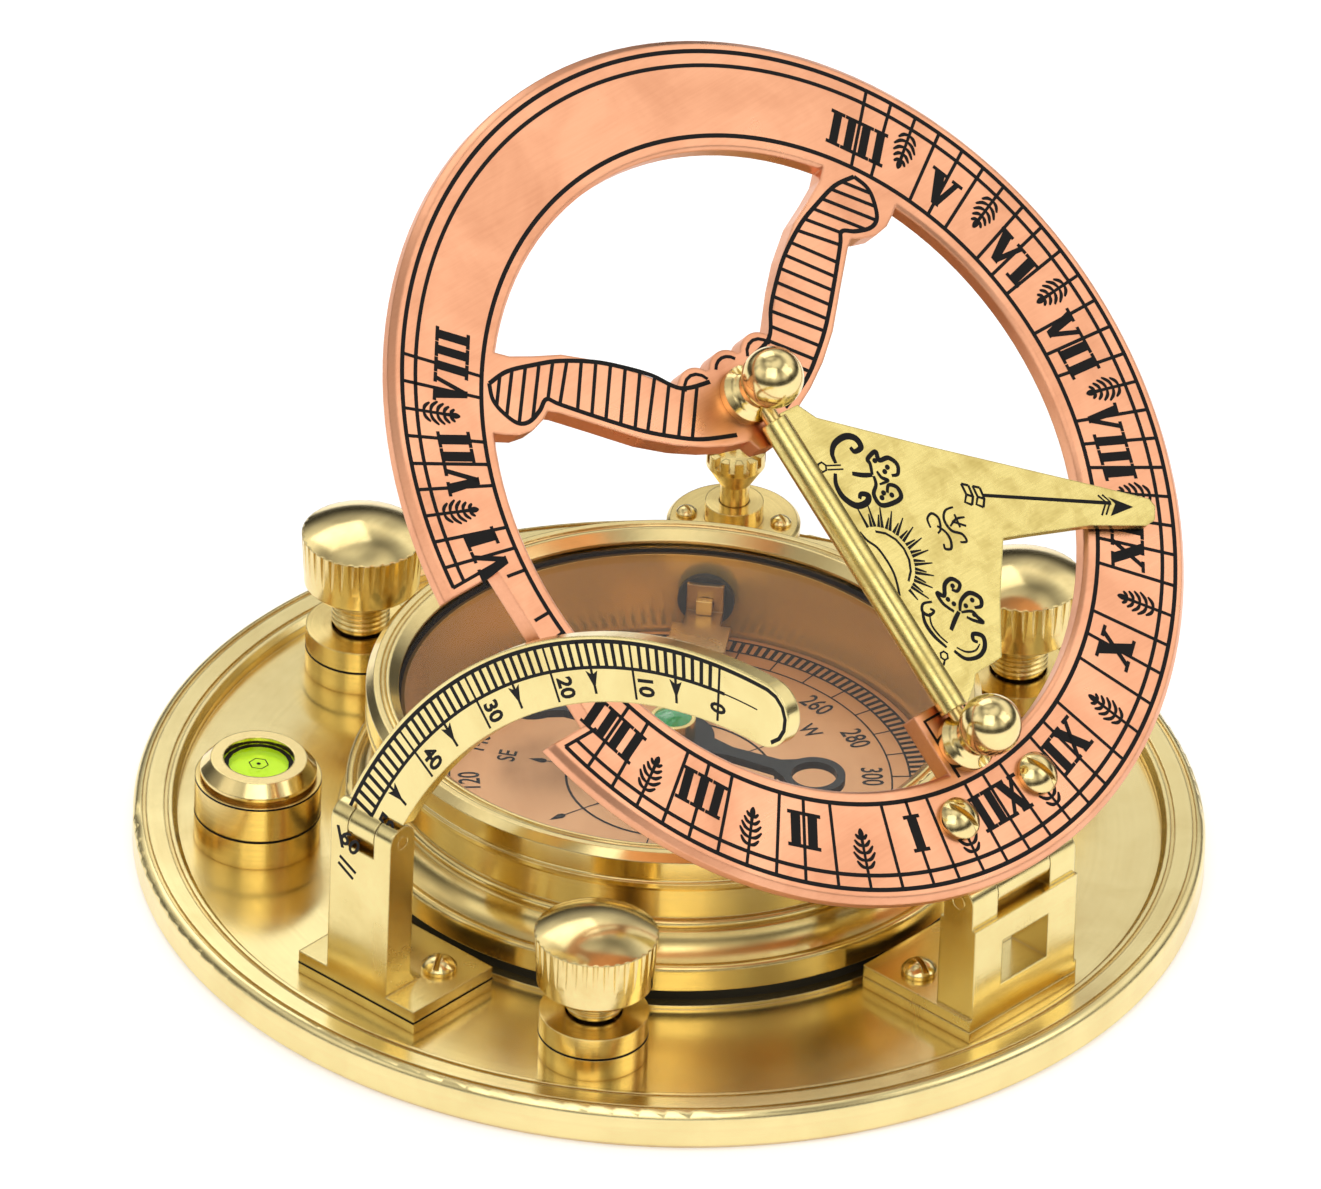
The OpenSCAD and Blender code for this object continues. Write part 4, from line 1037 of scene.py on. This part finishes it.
@dataclass
class Base:
    """The base plate, the hinge, the rest pillar, and the dark seams between stacked pieces."""

    pillar: Point = polar(49.4, 34.0)
    seam: float = 0.26
    collar_seam: float = 6.6
    collar_radius: float = 6.53
    level_seams: tuple[float, ...] = (7.4, 12.0)
    level_radius: float = 7.53
    foot_seam: float = 5.1
    foot_x: Point = (-54.13, -40.47)
    foot_y: Point = (-8.93, 9.53)

    def seams(self) -> None:
        """Lays the thin dark lines where grime and shadow fill the joints of stacked pieces."""
        bm = bmesh.new()
        rounds = [(spot, self.collar_radius, self.collar_seam) for spot in SCREW_SPOTS]
        rounds += [(LEVEL_SPOT, self.level_radius, z) for z in self.level_seams]
        for (x, y), radius, z in rounds:
            ends = [bm.verts.new((x + radius, y, z + s * self.seam / 2)) for s in (-1, 1)]
            bmesh.ops.spin(bm, geom=[bm.edges.new(ends), *ends], cent=(x, y, z), axis=(0, 0, 1),
                           angle=math.tau, steps=64, use_merge=True)
        (x0, x1), (y0, y1) = self.foot_x, self.foot_y
        place = shift((x0 + x1) / 2, (y0 + y1) / 2, self.foot_seam)
        size = Matrix.Diagonal((x1 - x0, y1 - y0, self.seam, 1))
        made = bmesh.ops.create_cube(bm, size=1.0, matrix=place @ size)
        flat = [f for f in {f for v in made["verts"] for f in v.link_faces} if abs(f.normal.z) > 0.5]
        bmesh.ops.delete(bm, geom=flat, context="FACES_ONLY")
        bmesh.ops.recalc_face_normals(bm, faces=bm.faces)
        # painted shadow: the black enamel finish fills the joints as shadow and grime
        finish_piece("seam_lines", bm, Matrix.Identity(4), Finish.INK, "base")

    def build(self) -> None:
        """Dresses the base and what is screwed to it."""
        self.seams()
        WARDROBE.dress(Finish.DECK, "base_plate")
        WARDROBE.dress(Finish.TURNED, "rest_pedestal", "rest_pillar", centre=(*self.pillar, 0.0))
        WARDROBE.dress(Finish.BRIGHT, "rest_screws", "hinge_screws")
        WARDROBE.dress(Finish.SHEET, "hinge_packing", "hinge_block")
        WARDROBE.dress(Finish.TURNED, "ring_pin")


@dataclass(frozen=True)
class Lamp:
    """A square soft lamp: where it hangs, in degrees and metres, its side in metres and its watts."""

    name: str
    azimuth: float
    elevation: float
    distance: float
    size: float
    power: float

    def hang(self) -> None:
        """Hangs the lamp so that it faces the instrument."""
        data = bpy.data.lights.new(self.name, "AREA")
        data.shape = "SQUARE"
        data.size = self.size
        data.energy = self.power
        lamp = bpy.data.objects.new(self.name, data)
        lift = math.radians(self.elevation)
        spot = Vector((*polar(self.distance * math.cos(lift), self.azimuth), self.distance * math.sin(lift)))
        lamp.location = spot
        lamp.rotation_euler = (Vector((0, 0, 0.02)) - spot).to_track_quat("-Z", "Y").to_euler()
        bpy.context.scene.collection.objects.link(lamp)


@dataclass
class Studio:
    """A pale floor, three soft lamps, an even pale surround and the photograph's long lens."""

    floor_size: float = 6.0
    azimuth: float = -48.5601
    elevation: float = 33.4514
    roll: float = 2.0697
    distance: float = 4.01272
    aim: Point = (-2.0026, 30.0021)
    lens: float = 923.62
    lamps: tuple[Lamp, ...] = (Lamp("key_softbox", 215, 50, 1.5, 0.95, 4.0),
                               Lamp("fill_softbox", 300, 40, 1.6, 0.9, 2.4),
                               Lamp("back_softbox", 62, 48, 1.6, 0.8, 2.4))
    sky_levels: tuple[Point, ...] = ((0.0, 0.12), (0.2, 0.08), (0.32, 0.5), (0.42, 1.0), (0.66, 1.1),
                                     (0.76, 0.6), (0.86, 0.35), (0.96, 1.0))
    fill_grey: float = 0.62

    def surround(self) -> None:
        """Makes the surround white to the camera and a bright studio with darker bands to the metal."""
        world = bpy.data.worlds.new("studio")
        bpy.context.scene.world = world
        tree = new_tree(world)
        way = add_node(tree, "TexCoord").outputs["Generated"]
        height = add_node(tree, "SeparateXYZ", {0: way}).outputs["Z"]
        ramp = add_node(tree, "ValToRGB", {0: height})
        while len(ramp.color_ramp.elements) < len(self.sky_levels):
            ramp.color_ramp.elements.new(0.5)
        for element, (spot, level) in zip(ramp.color_ramp.elements, self.sky_levels):
            element.position = spot
            element.color = (level, level * 0.985, level * 0.95, 1)
        flags = noise(tree, vectors(tree, "MULTIPLY", way, (1, 1, 0)), 1.9, 1.0)
        flags = remap(tree, flags, (0.36, 0.54), (0.42, 1.0))
        sky = add_node(tree, "VectorMath", {0: ramp.outputs[0], "Scale": flags},
                       operation="SCALE").outputs[0]
        rays = add_node(tree, "LightPath").outputs
        grey = (self.fill_grey, self.fill_grey, self.fill_grey, 1)
        plain = blend(tree, rays["Is Glossy Ray"], grey, sky)
        colour = blend(tree, seen_through_glass(tree, rays), plain, (1, 1, 1, 1))
        back = add_node(tree, "Background", {"Color": colour, "Strength": 1.0}).outputs[0]
        add_node(tree, "OutputWorld", {"Surface": back})

    def paper(self, tree: Tree) -> Socket:
        """Returns pale paper that glows a little to the eye, also in reflections, so it looks white."""
        fibre = noise(tree, object_space(tree), 900.0, 2.0)
        tone = blend(tree, fibre, linear("#f4f4f2"), linear("#fafaf9"))
        paper = add_node(tree, "BsdfDiffuse", {"Color": tone}).outputs[0]
        glow = add_node(tree, "Emission", {"Color": (1, 1, 1, 1), "Strength": 0.4}).outputs[0]
        lit = add_node(tree, "AddShader", {0: paper, 1: glow}).outputs[0]
        rays = add_node(tree, "LightPath").outputs
        seen = number(tree, "ADD", seen_through_glass(tree, rays), rays["Is Glossy Ray"], clamp=True)
        return add_node(tree, "MixShader", {0: seen, 1: paper, 2: lit}).outputs[0]

    def floor(self) -> None:
        """Lays a wide pale sheet that keeps the instrument's shadow."""
        material = make_material("paper_floor_pale", self.paper)
        bm = bmesh.new()
        bmesh.ops.create_grid(bm, x_segments=1, y_segments=1, size=self.floor_size / 2)
        mesh = bpy.data.meshes.new("studio_floor")
        bm.to_mesh(mesh)
        bm.free()
        mesh.materials.append(material)
        sheet = bpy.data.objects.new("studio_floor", mesh)
        bpy.context.scene.collection.objects.link(sheet)

    def camera(self) -> None:
        """Sets the camera at the photograph's long-lens view."""
        azimuth, elevation, roll = (math.radians(v) for v in (self.azimuth, self.elevation, self.roll))
        level = math.cos(elevation)
        back = Vector((math.sin(azimuth) * level, -math.cos(azimuth) * level, math.sin(elevation)))
        right = Vector((math.cos(azimuth), math.sin(azimuth), 0))
        up = back.cross(right)
        across = right * math.cos(roll) + up * math.sin(roll)
        above = up * math.cos(roll) - right * math.sin(roll)
        aim_x, aim_y = (v * MM for v in self.aim)
        spot = right * aim_x + up * aim_y + back * self.distance
        data = bpy.data.cameras.new("photograph_view")
        data.sensor_fit = "HORIZONTAL"
        data.sensor_width = 36.0
        data.lens = self.lens
        data.clip_start = 0.1
        data.clip_end = 50.0
        camera = bpy.data.objects.new("photograph_view", data)
        camera.matrix_world = Matrix((
            (across.x, above.x, back.x, spot.x), (across.y, above.y, back.y, spot.y),
            (across.z, above.z, back.z, spot.z), (0, 0, 0, 1)))
        bpy.context.scene.collection.objects.link(camera)
        bpy.context.scene.camera = camera

    def build(self) -> None:
        """Sets up the camera, the surround, the floor and the lamps."""
        self.camera()
        self.surround()
        self.floor()
        for lamp in self.lamps:
            lamp.hang()
        bpy.context.scene.view_settings.view_transform = "Standard"


def main() -> None:
    """Builds the studio and every sub-assembly in order."""
    logging.basicConfig(level=logging.INFO, format="%(name)s: %(message)s")
    parts = (Studio(), Base(), Compass(), SpiritLevel(), Levellers(), LatitudeArc(), HourRing(), Gnomon())
    for part in parts:
        part.build()
        log.info("built %s", type(part).__name__)


if __name__ == "__main__":
    main()
